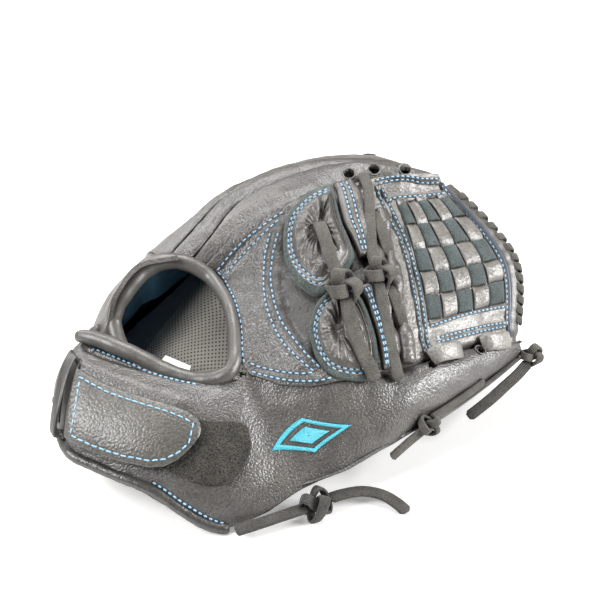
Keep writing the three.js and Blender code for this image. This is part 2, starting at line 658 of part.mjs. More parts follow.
// Laces that tie the web to the index finger and to the thumb, wound to and fro along the seams
function seamLace(column, swing, rows, waves, height) {
  const stops = [];
  for (let i = 0; i <= 4 * waves; i += 1) {
    stops.push([column + swing * Math.sin(Math.PI * i / 2), mix(rows[0], rows[1], i / (4 * waves)), height]);
  }
  return surfaceLace(back, stops, 4 * waves, laceWidth / 2);
}
const seamLaceHeight = -webDepth + laceThickness / 2 * laceCorner + 2 * clearance;
add('index_web_lace', cut(seamLace(3.83, 0.03, [2.05, 3.7], 4, seamLaceHeight), [fingerBlock]), laceLeather);
add('thumb_web_lace', seamLace(2.16, 0.04, [2.05, 3.7], 4, seamLaceHeight), laceLeather);

// Lace that ties the fingertips together across their backs
const tipLaceHeight = laceTop;
const tipLaceStops = [5.4, 5.7, 6.1, 6.6, 7.1, 7.6].map((column) => [column, 3.62, tipLaceHeight]);
add('fingertip_lace', surfaceLace(back, tipLaceStops, 14), laceLeather);

// Thumb edge lacing: a run along the edge, its knot, and the knot and tail at the tip
const edgeHeight = laceTop;
const edgeLaceStops = [[0.3, 2.62, edgeHeight], [0.34, 3, edgeHeight], [0.4, 3.42, edgeHeight]];
add('thumb_edge_lace', surfaceLace(back, edgeLaceStops, 10), laceLeather);
const edgeKnotPlace = [0.28, 2.48];
const edgeKnotCentre = clearance + knotHeight / 2;
function edgeKnot() {
  const upward = back.normal(...edgeKnotPlace);
  const place = back.above(...edgeKnotPlace, edgeKnotCentre);
  const lump = knot(place, vector(1, 0, 0), upward, knotLength * 0.85);
  const end = place.clone().add(vector(-27, 1, -13));
  const line = [place, place.clone().lerp(end, 0.5), end];
  const stub = flatLace(line, line.map(() => upward), laceWidth, laceThickness);
  return join([lump, stub]);
}
add('thumb_edge_knot', edgeKnot(), laceLeather);

const tipKnotCentre = vector(132.6, -66.6, 34);
const tipTail = [
  [128, -68.5, 31.5], [117, -71, 28], [105, -73.5, 26], [93, -76, 24], [82, -77.5, 22], [72, -78, 19.5],
];
const heelLace = [[-92, -70.5, 6], [-80, -73.5, 7], [-66, -76.5, 8], [-49, -79.6, 8.6]];
const heelKnotLength = 17;
const heelKnotHeight = 18;
const heelKnotCentre = vector(-43, -80.5, 8.6);
const heelTail = [
  [-34, -81, 9], [-25, -82, 8.5], [-13, -85, 7], [-4, -92, 5], [0, -101, 3.4], [1, -110, 2.6],
];

// A loose lace along hand-chosen points, lying flat
function looseLace(route, width) {
  const path = new THREE.CatmullRomCurve3(route.map(([x, y, z]) => vector(x, y, z)));
  const outline = [];
  for (let k = 0; k < laceSides; k += 1) {
    const angle = 2 * Math.PI * (k + 0.5) / laceSides;
    outline.push(new THREE.Vector2(
      Math.cos(angle) * laceCorner * laceThickness / 2,
      Math.sin(angle) * laceCorner * width / 2,
    ));
  }
  const steps = 2 * (route.length - 1);
  const settings = { steps, extrudePath: path, bevelEnabled: false };
  return new THREE.ExtrudeGeometry(new THREE.Shape(outline), settings);
}
const tipKnotAlong = vector(1, -0.2, 0.2);
const tipKnotUp = vector(0, -0.6, 0.8);
const tipKnotShape = (grow) =>
  knot(tipKnotCentre, tipKnotAlong, tipKnotUp, knotLength + 2 * grow, knotHeight + 2 * grow);
add('thumb_tip_knot', tipKnotShape(0), laceLeather);
add('thumb_tip_tail', cut(looseLace(tipTail, laceWidth), [tipKnotShape(clearance)]), laceLeather);

const heelKnotAlong = vector(1, -0.2, 0);
const heelKnotShape = (grow) =>
  knot(heelKnotCentre, heelKnotAlong, vector(0, 0, 1), heelKnotLength + 2 * grow, heelKnotHeight + 2 * grow);
add('heel_knot', cut(heelKnotShape(0), [floorBlock]), laceLeather);
const heelCuts = [heelKnotShape(clearance), floorBlock];
add('heel_lace', cut(looseLace(heelLace, heelLaceWidth), heelCuts), laceLeather);
add('heel_lace_tail', cut(looseLace(heelTail, heelLaceWidth), heelCuts), laceLeather);

// Wrist strap: loop pile on the band, the flap with its hook pile, the keeper and the sewn base
const strapFrom = 1.42;
const strapTo = 3.84;
const strapEdges = [0.4, 2.2]; // at the keeper
const strapEndEdges = [0.78, 2.3]; // at the free end
function strapSheet(rows, inset, bottom, top, endRounding, countB) {
  const place = (height) => (a, b) => {
    const row = mix(rows[0], rows[1], b);
    const share = (row - strapFrom) / (strapTo - strapFrom);
    const hem = mix(strapEndEdges[0], strapEdges[0], share) + inset;
    const lip = mix(strapEndEdges[1], strapEdges[1], share) - inset;
    const middle = (hem + lip) / 2;
    const half = (lip - hem) / 2;
    const toEnd = Math.min((row - rows[0]) / endRounding, 1);
    const narrowing = mix(0.42, 1, Math.sqrt(1 - (1 - toEnd) ** 2));
    return band.above(middle + half * narrowing * (2 * a - 1), row, height);
  };
  return slab(6, countB, place(bottom), place(top));
}
const loopTop = clearance + loopPatchThickness;
const hookTop = loopTop + clearance + hookPatchThickness;
const flapBottom = hookTop + clearance;
const flapRounding = 0.6;
add('loop_patch', strapSheet([0.84, 2.5], 0.06, clearance, loopTop, flapRounding, 9), loopPile);
add('hook_patch', strapSheet([strapFrom + 0.16, 2.4], 0.2, loopTop + clearance, hookTop, flapRounding, 8),
  loopPile);
const flapTop = flapBottom + strapThickness;
add('strap_flap', strapSheet([strapFrom, strapTo], 0, flapBottom, flapTop, flapRounding, 12), greyLeather);
const keeperRows = [strapTo + 0.06, strapTo + 0.42];
const keeperEdges = [strapEdges[0] - 0.12, strapEdges[1] + 0.12];
add('strap_keeper', sheet(band, keeperEdges, keeperRows, clearance, keeperHeight, 6, 3), darkLeather);
const baseRows = [keeperRows[1] + 0.03, 4.86];
const baseTop = clearance + strapThickness;
add('strap_base', sheet(band, strapEdges, baseRows, clearance, baseTop, 6, 5), greyLeather);

// White tape tag sewn behind the lip, inside the hand opening
function tag() {
  const place = (offset) => (a, b) => {
    const row = 2 + mix(-0.5, 0.5, a) * tagWidth / 34;
    const seat = band.point(3, row);
    const inward = band.normal(3, row).multiplyScalar(-1);
    const rise = band.point(3, row).sub(band.point(2.9, row)).normalize();
    const depth = mix(-0.35, 0.65, b) * tagHeight;
    return seat.addScaledVector(rise, weltClear + offset).addScaledVector(inward, depth);
  };
  return slab(3, 2, place(0), place(tagThickness));
}
add('size_tag', tag(), whiteTape);

// The origin is at the middle of the underside of everything but the free tails
const freeTails = ['thumb_tip_tail', 'heel_lace_tail'];
const box = new THREE.Box3();
for (const mesh of group.children) {
  if (!freeTails.includes(mesh.name)) {
    box.expandByObject(mesh);
  }
}
const middle = box.getCenter(vector(0, 0, 0));
group.position.set(-middle.x, -middle.y, -box.min.z);

export default group;
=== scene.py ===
# Softball glove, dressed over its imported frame.
# The scene is in metres. Control points and sizes below are millimetres in the part's own drawing.
import json
import math

import bpy
import numpy as np
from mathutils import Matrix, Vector


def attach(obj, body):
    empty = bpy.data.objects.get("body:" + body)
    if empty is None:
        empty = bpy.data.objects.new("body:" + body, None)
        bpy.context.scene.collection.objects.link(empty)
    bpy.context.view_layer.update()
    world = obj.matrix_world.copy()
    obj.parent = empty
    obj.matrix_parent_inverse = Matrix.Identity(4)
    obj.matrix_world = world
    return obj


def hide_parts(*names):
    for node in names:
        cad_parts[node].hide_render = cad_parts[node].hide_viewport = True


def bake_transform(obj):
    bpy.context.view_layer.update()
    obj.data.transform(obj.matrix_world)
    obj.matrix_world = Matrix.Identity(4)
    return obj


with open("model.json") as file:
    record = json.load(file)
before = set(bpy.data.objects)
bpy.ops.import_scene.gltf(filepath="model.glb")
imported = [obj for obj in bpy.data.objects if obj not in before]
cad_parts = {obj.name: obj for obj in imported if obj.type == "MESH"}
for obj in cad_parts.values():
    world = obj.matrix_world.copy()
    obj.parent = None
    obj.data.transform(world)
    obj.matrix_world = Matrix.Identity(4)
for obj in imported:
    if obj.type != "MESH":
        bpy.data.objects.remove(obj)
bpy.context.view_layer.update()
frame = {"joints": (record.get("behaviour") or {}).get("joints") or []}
scene = bpy.context.scene
scene.view_settings.view_transform = "Standard"

# The fold that the glove closes on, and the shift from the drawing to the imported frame
foldTip = np.array([130.0, 26.0, 100.0])
closeJoint = next(j for j in frame["joints"] if j["name"] == "glove_close")
frameShift = np.array(closeJoint["pos_m"]) * 1000 - foldTip

# Nothing comes nearer to the floor than the clearance; leather pressed on it keeps its least thickness
floorClearance = 0.15
leastLeather = 0.6
floorLevel = floorClearance - frameShift[2]


def toScene(points):
    return (np.asarray(points, float) + frameShift) * 0.001


def overFold(piece):
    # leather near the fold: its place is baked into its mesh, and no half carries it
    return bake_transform(piece)


# Camera at the photograph's angle: 850 mm off, 0.6 mm of glove to each pixel of the 600 pixel frame
view = {"azimuth": -34.0, "elevation": 35.0, "distance": 850.0, "target": (0, 0, 90), "frameWidth": 360.0,
        "clip": (0.01, 20)}


def addCamera():
    a = math.radians(view["azimuth"])
    e = math.radians(view["elevation"])
    back = np.array([math.sin(a) * math.cos(e), -math.cos(a) * math.cos(e), math.sin(e)])
    data = bpy.data.cameras.new("photo_camera")
    data.lens = data.sensor_width / 2 / (view["frameWidth"] / 2 / view["distance"])
    camera = bpy.data.objects.new("photo_camera", data)
    camera.location = toScene(np.array(view["target"]) + view["distance"] * back)
    camera.rotation_euler = Vector(back).to_track_quat("Z", "Y").to_euler()
    data.clip_start, data.clip_end = view["clip"]
    scene.collection.objects.link(camera)
    scene.camera = camera


addCamera()
print("camera set")


# Splines and control nets

def splineWeights(u, count):
    # Catmull-Rom weights of the four points round u, where point i lies at u = i
    i = np.clip(np.floor(u).astype(int), 0, count - 2)
    f = u - i
    weights = [(-f + 2 * f**2 - f**3) / 2, (2 - 5 * f**2 + 3 * f**3) / 2,
               (f + 4 * f**2 - 3 * f**3) / 2, (f**3 - f**2) / 2]
    return i, np.stack(weights, -1)


def extendEnds(points):
    return np.concatenate([2 * points[:1] - points[1:2], points, 2 * points[-1:] - points[-2:-1]])


def splineCurve(points, u):
    points = np.asarray(points, float)
    i, weights = splineWeights(np.asarray(u, float), len(points))
    extended = extendEnds(points)
    return sum(weights[..., k, None] * extended[i + k] for k in range(4))


def splineLine(points, count):
    return splineCurve(points, np.linspace(0, len(points) - 1, count))


def closedSpline(points, count):
    points = np.asarray(points, float)
    wrapped = np.concatenate([points[-2:], points, points[:3]])
    return splineCurve(wrapped, 2 + np.arange(count) / count * len(points))


def unit(vectors):
    return vectors / np.maximum(np.linalg.norm(vectors, axis=-1, keepdims=True), 1e-9)


class NetSurface:
    # point(column, row) = sum of net points times Catmull-Rom weights in both directions
    def __init__(self, rows, outward):
        net = np.array(rows, float)
        self.rows, self.columns = net.shape[:2]
        self.net = extendEnds(extendEnds(net).swapaxes(0, 1)).swapaxes(0, 1)
        self.outward = outward

    def point(self, column, row):
        column, row = np.broadcast_arrays(np.asarray(column, float), np.asarray(row, float))
        i, rowWeights = splineWeights(row, self.rows)
        j, columnWeights = splineWeights(column, self.columns)
        total = 0
        for a in range(4):
            for b in range(4):
                total = total + ((rowWeights[..., a] * columnWeights[..., b])[..., None]
                                 * self.net[i + a, j + b])
        return total

    def normal(self, column, row, step=0.03):
        across = self.point(column + step, row) - self.point(column - step, row)
        along = self.point(column, row + step) - self.point(column, row - step)
        return self.outward * unit(np.cross(along, across))

    def above(self, column, row, height):
        column = np.asarray(column, float)
        row = np.asarray(row, float)
        return self.point(column, row) + self.normal(column, row) * np.asarray(height, float)[..., None]


# Rows go from the wrist to the tips, columns from the thumb's edge to the little finger's edge
backRows = [
    [[-49, -73, 16], [-46, -47, 38], [-45, -14, 63], [-30, 22, 80], [-22, 55, 86], [-44, 77, 96],
     [-42, 107, 84], [-40, 125, 50], [-40, 127, 8]],
    [[-22, -79, 20], [-16, -64, 42], [-11, -47, 64], [10, -4, 94], [28, 45, 118], [17, 90, 116],
     [18, 115, 103], [20, 137, 62], [20, 138, 26]],
    [[13, -81, 26], [20, -76, 45], [37, -62, 63], [59, -16, 97], [79, 36, 122], [67, 76, 127],
     [66, 114, 107], [72, 140, 66], [74, 142, 28]],
    [[63, -75, 29], [66, -73, 43], [81, -62, 57], [100, -25, 91], [106, 30, 122], [98, 58, 127],
     [104, 110, 105], [112, 138, 60], [114, 140, 16]],
    [[124, -63, 32], [127, -63, 38], [131, -58, 46], [149, -27, 83], [134, 25, 118], [130, 42, 118],
     [134, 96, 100], [142, 124, 50], [142, 127, -2]],
]
palmRows = [
    [[-95, -61, 2], [-105, -42, 0], [-116, -20, 3], [-126, 4, 8], [-131, 30, 9], [-129, 58, 6],
     [-122, 84, 1], [-104, 100, -2], [-92, 108, -3]],
    [[-68, -64, 8], [-70, -45, 12], [-74, -25, 18], [-78, 0, 25], [-82, 28, 28], [-82, 56, 27],
     [-78, 84, 19], [-72, 104, 9], [-68, 115, -2]],
    [[-47, -69, 14], [-42, -48, 21], [-36, -27, 33], [-31, 0, 46], [-30, 30, 53], [-32, 60, 52],
     [-36, 88, 40], [-38, 106, 24], [-40, 121, 6]],
    [[-20, -75, 18], [-10, -52, 28], [0, -30, 46], [12, 0, 68], [22, 34, 82], [18, 66, 90],
     [18, 92, 75], [20, 114, 46], [20, 131, 24]],
    [[16, -76, 24], [26, -60, 33], [42, -44, 48], [62, -14, 84], [74, 32, 98], [68, 62, 106],
     [68, 94, 88], [72, 118, 56], [74, 135, 26]],
    [[65, -73, 28], [70, -61, 34], [83, -48, 46], [101, -23, 84], [104, 28, 104], [98, 52, 107],
     [104, 92, 87], [112, 118, 52], [114, 133, 14]],
    [[124, -60, 31], [128, -57, 34], [130, -51, 40], [137, -27, 77], [132, 24, 104], [130, 38, 106],
     [134, 82, 87], [141, 108, 46], [142, 121, -2]],
]
# The wrist band's stations go from the thumb round to the little finger's side, each from hem to lip
bandRows = [
    [[-49, -73, 16], [-47, -55, 31], [-45, -33, 49], [-45, -14, 63]],
    [[-95, -63, 3.4], [-85, -54, 26], [-70, -35, 46], [-52, -11, 62]],
    [[-124, -31, 24], [-114, -23, 42], [-98, -9, 56], [-78, 14, 63]],
    [[-142, -5, 30], [-132, 4, 47], [-118, 21, 60], [-100, 40, 66]],
    [[-152, 20, 33], [-143, 30, 50], [-130, 45, 62], [-113, 60, 68]],
    [[-137, 62, 36], [-132, 64, 50], [-122, 66, 61], [-113, 66, 67]],
]
sideRows = [
    [[-96, 72, 67], [-102, 86, 50], [-94, 100, 26], [-86, 109, -2]],
    [[-86, 77, 82], [-80, 100, 64], [-75, 114, 34], [-72, 117, -2]],
    [[-66, 83, 92], [-60, 105, 74], [-57, 120, 42], [-56, 122, -1]],
    [[-44, 77, 96], [-42, 107, 84], [-40, 125, 50], [-40, 127, 8]],
]
back = NetSurface(backRows, 1)
palm = NetSurface(palmRows, 1)
band = NetSurface(bandRows, -1)
side = NetSurface(sideRows, 1)
palmRowOffset = 2

# Thumb and wrist band are one leather: the band's stations from the fold to the thumb, then the thumb's rows
thumbSections = back.point(np.array([0, 2 / 3, 4 / 3, 2])[None, :], np.arange(5.0)[:, None])
thumb = NetSurface(np.concatenate([np.array(bandRows, float)[:0:-1], thumbSections]), 1)
thumbRoot = 5.0


def smoothStep(low, high, x):
    t = np.clip((np.asarray(x, float) - low) / (high - low), 0, 1)
    return t * t * (3 - 2 * t)


def bell(x, height, middle, width):
    # height * exp(-((x - middle) / width)^2)
    return height * np.exp(-((x - middle) / width) ** 2)


def ripple(points, length, seed, waves=7):
    # soft unevenness: a sum of sine waves of about the given length, in fixed directions
    draw = np.random.default_rng(seed)
    directions = (unit(draw.normal(size=(waves, 3))) * (2 * math.pi / length)
                  * draw.uniform(0.7, 1.5, (waves, 1)))
    phases = draw.uniform(0, 2 * math.pi, waves)
    return np.sin(points @ directions.T + phases).sum(-1) / math.sqrt(waves)


def unevenness(points, swell, crumple, seed):
    # swell height * long ripple + crumple height * short ripple, each given as (height, length)
    return swell[0] * ripple(points, swell[1], seed) + crumple[0] * ripple(points, crumple[1], seed + 1)


def stepLengths(points):
    return np.linalg.norm(np.diff(points, axis=0), axis=1)


def runningLength(points):
    return np.concatenate([[0], np.cumsum(stepLengths(points))])


def readAlong(values, lengths, at):
    # values given at the running lengths of a line, read at other distances along it
    return np.stack([np.interp(at, lengths, values[:, k]) for k in range(values.shape[1])], 1)


def spans(edges, counts):
    # steps along a line that is cut at the given edges, with its own count in each part
    parts = [np.linspace(edges[k], edges[k + 1], count)[min(k, 1):] for k, count in enumerate(counts)]
    return np.concatenate(parts)


def cellMiddles(grid):
    return (grid[:-1, :-1] + grid[1:, 1:]) / 2


def outsideHoles(skin, holes, radius):
    # the cells of a skin whose middles lie farther than radius from every hole
    keep = np.ones((skin.shape[0] - 1, skin.shape[1] - 1), bool)
    for hole in holes:
        keep &= np.linalg.norm(cellMiddles(skin) - hole, axis=-1) > radius
    return keep


# Mesh making: edges that turn by more than the sharp angle stay sharp
sharpAngle = math.radians(60)


def addPiece(name, points, faces, material, uv=None):
    # a closed mesh from points in millimetres, none below the floor, turned to enclose a positive volume
    points = np.array(points, float).reshape(-1, 3)
    points[:, 2] = np.maximum(points[:, 2], floorLevel)
    faces = [np.asarray(f, int) for f in faces if len(f)]
    centred = points - points.mean(0)
    volume = 0
    for f in faces:
        for k in range(1, f.shape[1] - 1):
            volume += (centred[f[:, 0]] * np.cross(centred[f[:, k]], centred[f[:, k + 1]])).sum()
    if volume < 0:
        faces = [f[:, ::-1] for f in faces]
    loops = np.concatenate([f.ravel() for f in faces])
    sizes = np.concatenate([np.full(len(f), f.shape[1]) for f in faces])
    mesh = bpy.data.meshes.new(name)
    mesh.vertices.add(len(points))
    mesh.vertices.foreach_set("co", toScene(points).ravel())
    mesh.loops.add(len(loops))
    mesh.loops.foreach_set("vertex_index", loops)
    mesh.polygons.add(len(sizes))
    mesh.polygons.foreach_set("loop_start", np.concatenate([[0], np.cumsum(sizes)[:-1]]))
    if uv is not None:
        layer = mesh.uv_layers.new(name="UVMap")
        layer.data.foreach_set("uv", np.asarray(uv, float).reshape(-1, 2)[loops].ravel())
    mesh.update(calc_edges=True)
    mesh.validate()
    mesh.shade_smooth()
    mesh.set_sharp_from_angle(angle=sharpAngle)
    mesh.materials.append(material)
    piece = bpy.data.objects.new(name, mesh)
    scene.collection.objects.link(piece)
    return piece


def gridQuads(rows, columns, wrap=False):
    i = np.arange(rows - 1)[:, None]
    j = np.arange(columns if wrap else columns - 1)[None, :]
    k = (j + 1) % columns
    corners = [i * columns + j, (i + 1) * columns + j, (i + 1) * columns + k, i * columns + k]
    return np.stack(corners, -1).reshape(-1, 4)


def shellPiece(name, outer, inner, material, uv=None, keep=None):
    # two layers of one grid joined round every open edge; keep leaves out the cells of a hole
    rows, columns = outer.shape[:2]
    count = rows * columns
    quads = gridQuads(rows, columns)
    if keep is not None:
        quads = quads[keep.ravel()]
    start = quads.ravel()
    finish = np.roll(quads, -1, axis=1).ravel()
    rim = ~np.isin(start * count + finish, finish * count + start)
    sides = np.stack([finish[rim], start[rim], start[rim] + count, finish[rim] + count], 1)
    faces = np.concatenate([quads, quads[:, ::-1] + count, sides])
    points = np.concatenate([outer.reshape(-1, 3), inner.reshape(-1, 3)])
    if uv is not None:
        uv = np.concatenate([uv.reshape(-1, 2), uv.reshape(-1, 2)])
    return addPiece(name, points, [faces], material, uv)


def gridNormals(points):
    return unit(np.cross(np.gradient(points, axis=0), np.gradient(points, axis=1)))


def ringPiece(name, rings, material, uv=None, closed=False):
    # rings of equal point counts joined one to the next, with a fan at each end unless the path is closed
    count, sides = rings.shape[:2]
    points = rings.reshape(-1, 3)
    if closed:
        quads = gridQuads(count + 1, sides, wrap=True) % (count * sides)
        return addPiece(name, points, [quads], material, uv)
    quads = gridQuads(count, sides, wrap=True)
    here = np.arange(sides)
    following = (here + 1) % sides
    first = np.full(sides, len(points))
    last = first + 1
    fans = np.concatenate([
        np.stack([first, here, following], 1),
        np.stack([last, following + (count - 1) * sides, here + (count - 1) * sides], 1),
    ])
    points = np.concatenate([points, rings[0].mean(0)[None], rings[-1].mean(0)[None]])
    if uv is not None:
        flat = uv.reshape(-1, 2)
        uv = np.concatenate([flat, uv[0].mean(0)[None], uv[-1].mean(0)[None]])
    return addPiece(name, points, [quads, fans], material, uv)


def sweepRings(path, upward, halfWidth, halfHeight, sides=16, power=2.0, closed=False):
    # a superellipse |x/w|^power + |y/h|^power = 1 carried along a path, its height along upward
    if closed:
        along = unit(np.roll(path, -1, 0) - np.roll(path, 1, 0))
    else:
        along = unit(np.gradient(path, axis=0))
    aside = unit(np.cross(along, upward))
    top = np.cross(aside, along)
    angle = 2 * math.pi * (np.arange(sides) + 0.5) / sides
    x = np.sign(np.cos(angle)) * np.abs(np.cos(angle)) ** (2 / power)
    y = np.sign(np.sin(angle)) * np.abs(np.sin(angle)) ** (2 / power)
    halfWidth = np.broadcast_to(halfWidth, len(path))
    halfHeight = np.broadcast_to(halfHeight, len(path))
    rings = (path[:, None] + aside[:, None] * (halfWidth[:, None] * x)[..., None]
             + top[:, None] * (halfHeight[:, None] * y)[..., None])
    uv = np.stack(np.broadcast_arrays(runningLength(path)[:, None], halfWidth[:, None] * x), -1)
    return rings, uv


def roundedEnds(count, share=0.03):
    # scale along a path that rounds both ends
    t = np.linspace(0, 1, count)
    near = np.clip(np.minimum(t, 1 - t) / share, 0, 1)
    return 0.55 + 0.45 * np.sqrt(1 - (1 - near) ** 2)


def sweepPiece(name, path, upward, halfWidth, halfHeight, material, sides=16, power=2.0, closed=False):
    path = np.asarray(path, float)
    upward = np.broadcast_to(np.asarray(upward, float), path.shape)
    if not closed:
        ends = roundedEnds(len(path))
        halfWidth = halfWidth * ends
        halfHeight = halfHeight * ends
    rings, uv = sweepRings(path, upward, halfWidth, halfHeight, sides, power, closed)
    return ringPiece(name, rings, material, uv, closed)


def evenly(path, count, *others):
    # points at equal distances along a line, with other arrays carried along
    lengths = runningLength(path)
    at = np.linspace(0, lengths[-1], count)
    return [readAlong(values, lengths, at) for values in (path, *others)]


def surfaceLine(surface, stops, count):
    # a smooth line over a surface through (column, row, height) stops
    column, row, height = splineLine(stops, max(count, 4 * len(stops))).T
    return evenly(surface.above(column, row, height), count, surface.normal(column, row))


def edgeSpaced(count, edge):
    # steps from 0 to 1 with extra ones near both ends, for rounded edges
    rounding = edge * np.array([0, 0.12, 0.45])
    return np.concatenate([rounding, np.linspace(edge, 1 - edge, count), (1 - rounding)[::-1]])


def edgeDrop(distance, radius):
    near = np.clip(radius - distance, 0, radius)
    return radius - np.sqrt(np.maximum(radius**2 - near**2, 0))


def sheetPiece(name, surface, columnRow, size, bottom, top, material, rounding, counts, lift=None):
    # a sheet between two heights over a surface; columnRow gives (column, row) for a and b from 0 to 1
    width, length = size
    a = edgeSpaced(counts[0], rounding / width)[None, :]
    b = edgeSpaced(counts[1], rounding / length)[:, None]
    a, b = np.broadcast_arrays(a, b)
    column, row = columnRow(a, b)
    distance = np.minimum(np.minimum(a, 1 - a) * width, np.minimum(b, 1 - b) * length)
    drop = edgeDrop(distance, min(rounding, (top - bottom) * 0.5))
    extra = 0 if lift is None else lift(a, b)
    outer = surface.above(column, row, top - drop + extra)
    inner = surface.above(column, row, bottom + drop + extra)
    uv = np.stack([a * width, b * length], -1)
    return shellPiece(name, outer, inner, material, uv)


# Materials

def hexColour(text):
    channels = np.array([int(text[k:k + 2], 16) for k in (1, 3, 5)]) / 255
    linear = np.where(channels <= 0.04045, channels / 12.92, ((channels + 0.055) / 1.055) ** 2.4)
    return (*linear.tolist(), 1.0)


def addNode(tree, kind, sockets=None, **settings):
    # one node with its settings; a socket value is a number, a hex colour or another node's output
    added = tree.nodes.new(kind)
    for key, value in settings.items():
        setattr(added, key, value)
    for key, value in (sockets or {}).items():
        if isinstance(value, bpy.types.NodeSocket):
            tree.links.new(value, added.inputs[key])
        else:
            added.inputs[key].default_value = hexColour(value) if isinstance(value, str) else value
    return added


def newMaterial(name, roughness, specular, sheen=0.0):
    material = bpy.data.materials.new(name)
    material.use_nodes = True
    tree = material.node_tree
    shader = tree.nodes["Principled BSDF"]
    shader.inputs["Roughness"].default_value = roughness
    shader.inputs["Specular IOR Level"].default_value = specular
    shader.inputs["Sheen Weight"].default_value = sheen
    return material, tree, shader


def mapPlace(tree, pitch, shift=0.0, squeeze=1.0):
    # the piece's own map in millimetres, counted in pitches
    uv = addNode(tree, "ShaderNodeUVMap", uv_map="UVMap").outputs[0]
    sockets = {"Vector": uv, "Location": (shift, shift, 0), "Scale": (1 / pitch, 1 / pitch / squeeze, 0)}
    return addNode(tree, "ShaderNodeMapping", sockets).outputs[0]


def paintedCornerShade(tree, tone, reach=6.0, depth=0.3):
    # painted shade in the corners: the tone falls to a share of itself within reach millimetres of a
    # neighbour, by ambient occlusion
    shelter = addNode(tree, "ShaderNodeAmbientOcclusion", {"Distance": reach * 0.001}, samples=6)
    sockets = {0: shelter.outputs["AO"], 1: 0.3, 2: 0.9, 3: depth}
    share = addNode(tree, "ShaderNodeMapRange", sockets).outputs[0]
    return addNode(tree, "ShaderNodeVectorMath", {0: tone, "Scale": share}, operation="SCALE").outputs[0]


def paint(tree, shader, colour, normal):
    tree.links.new(colour, shader.inputs["Base Color"])
    tree.links.new(normal, shader.inputs["Normal"])


def leatherMaterial(name, colour, deep, worn, roughness, grain, bump, crease):
    # full-grain leather: pebbles of about grain millimetres, longer soft creases, mottled dye
    material, tree, shader = newMaterial(name, roughness, 1.0)
    place = addNode(tree, "ShaderNodeTexCoord").outputs["Object"]
    sockets = {"Vector": place, "Scale": 1000 / grain}
    pebble = addNode(tree, "ShaderNodeTexVoronoi", sockets, feature="SMOOTH_F1").outputs["Distance"]
    sockets = {"Vector": place, "Scale": 38.0, "Detail": 5.0, "Roughness": 0.6}
    mottle = addNode(tree, "ShaderNodeTexNoise", sockets).outputs["Fac"]
    sockets = {"Vector": place, "Scale": 900.0, "Detail": 4.0, "Roughness": 0.65}
    fine = addNode(tree, "ShaderNodeTexNoise", sockets).outputs["Fac"]
    sockets = {"Vector": place, "Scale": (90.0, 260.0, 120.0)}
    stretch = addNode(tree, "ShaderNodeMapping", sockets).outputs[0]
    sockets = {"Vector": stretch, "Scale": 1.0, "Detail": 4.0, "Roughness": 0.55, "Distortion": 0.6}
    folds = addNode(tree, "ShaderNodeTexNoise", sockets).outputs["Fac"]
    wear = addNode(tree, "ShaderNodeMapRange", {0: mottle, 1: 0.4, 2: 0.62}).outputs[0]
    dye = addNode(tree, "ShaderNodeMix", {0: wear, 6: colour, 7: worn}, data_type="RGBA").outputs[2]
    hollow = addNode(tree, "ShaderNodeMapRange", {0: pebble, 1: 0.3, 2: 0.75, 4: 0.5}).outputs[0]
    shaded = addNode(tree, "ShaderNodeMix", {0: hollow, 6: dye, 7: deep}, data_type="RGBA").outputs[2]
    sockets = {0: fine, 1: 0.3, 2: 0.7, 3: roughness - 0.07, 4: roughness + 0.13}
    rough = addNode(tree, "ShaderNodeMapRange", sockets).outputs[0]
    tree.links.new(rough, shader.inputs["Roughness"])
    sockets = {"Strength": crease, "Distance": 0.0009, "Height": folds}
    creases = addNode(tree, "ShaderNodeBump", sockets).outputs[0]
    sockets = {"Strength": bump, "Distance": 0.0005, "Height": pebble, "Normal": creases}
    pits = addNode(tree, "ShaderNodeBump", sockets, invert=True).outputs[0]
    sockets = {"Strength": 0.15, "Distance": 0.0002, "Height": fine, "Normal": pits}
    # the base colour goes through the painted corner shade
    paint(tree, shader, paintedCornerShade(tree, shaded), addNode(tree, "ShaderNodeBump", sockets).outputs[0])
    return material


def napMaterial(name, colour, light, dark, sheen, fibre, bump):
    # brushed or looped nap: short fibres of about fibre millimetres in three tones
    material, tree, shader = newMaterial(name, 0.92, 0.15, sheen)
    shader.inputs["Sheen Roughness"].default_value = 0.5
    place = addNode(tree, "ShaderNodeTexCoord").outputs["Object"]
    sockets = {"Vector": place, "Scale": 1000 / fibre, "Detail": 4.0, "Roughness": 0.7}
    fibres = addNode(tree, "ShaderNodeTexNoise", sockets).outputs["Fac"]
    sockets = {"Vector": place, "Scale": 110.0, "Detail": 3.0}
    brushed = addNode(tree, "ShaderNodeTexNoise", sockets).outputs["Fac"]
    sockets = {"Vector": place, "Scale": 1000 / fibre}
    tufts = addNode(tree, "ShaderNodeTexVoronoi", sockets).outputs["Distance"]
    stroke = addNode(tree, "ShaderNodeMapRange", {0: brushed, 1: 0.35, 2: 0.65}).outputs[0]
    tone = addNode(tree, "ShaderNodeMix", {0: stroke, 6: colour, 7: light}, data_type="RGBA").outputs[2]
    hollow = addNode(tree, "ShaderNodeMapRange", {0: fibres, 1: 0.45, 2: 0.63}).outputs[0]
    pits = addNode(tree, "ShaderNodeMix", {0: hollow, 6: tone, 7: dark}, data_type="RGBA").outputs[2]
    sockets = {"Strength": bump, "Distance": 0.0005, "Height": tufts}
    lumps = addNode(tree, "ShaderNodeBump", sockets).outputs[0]
    sockets = {"Strength": bump, "Distance": 0.0005, "Height": fibres, "Normal": lumps}
    # the base colour goes through the painted corner shade
    paint(tree, shader, paintedCornerShade(tree, pits), addNode(tree, "ShaderNodeBump", sockets).outputs[0])
    return material


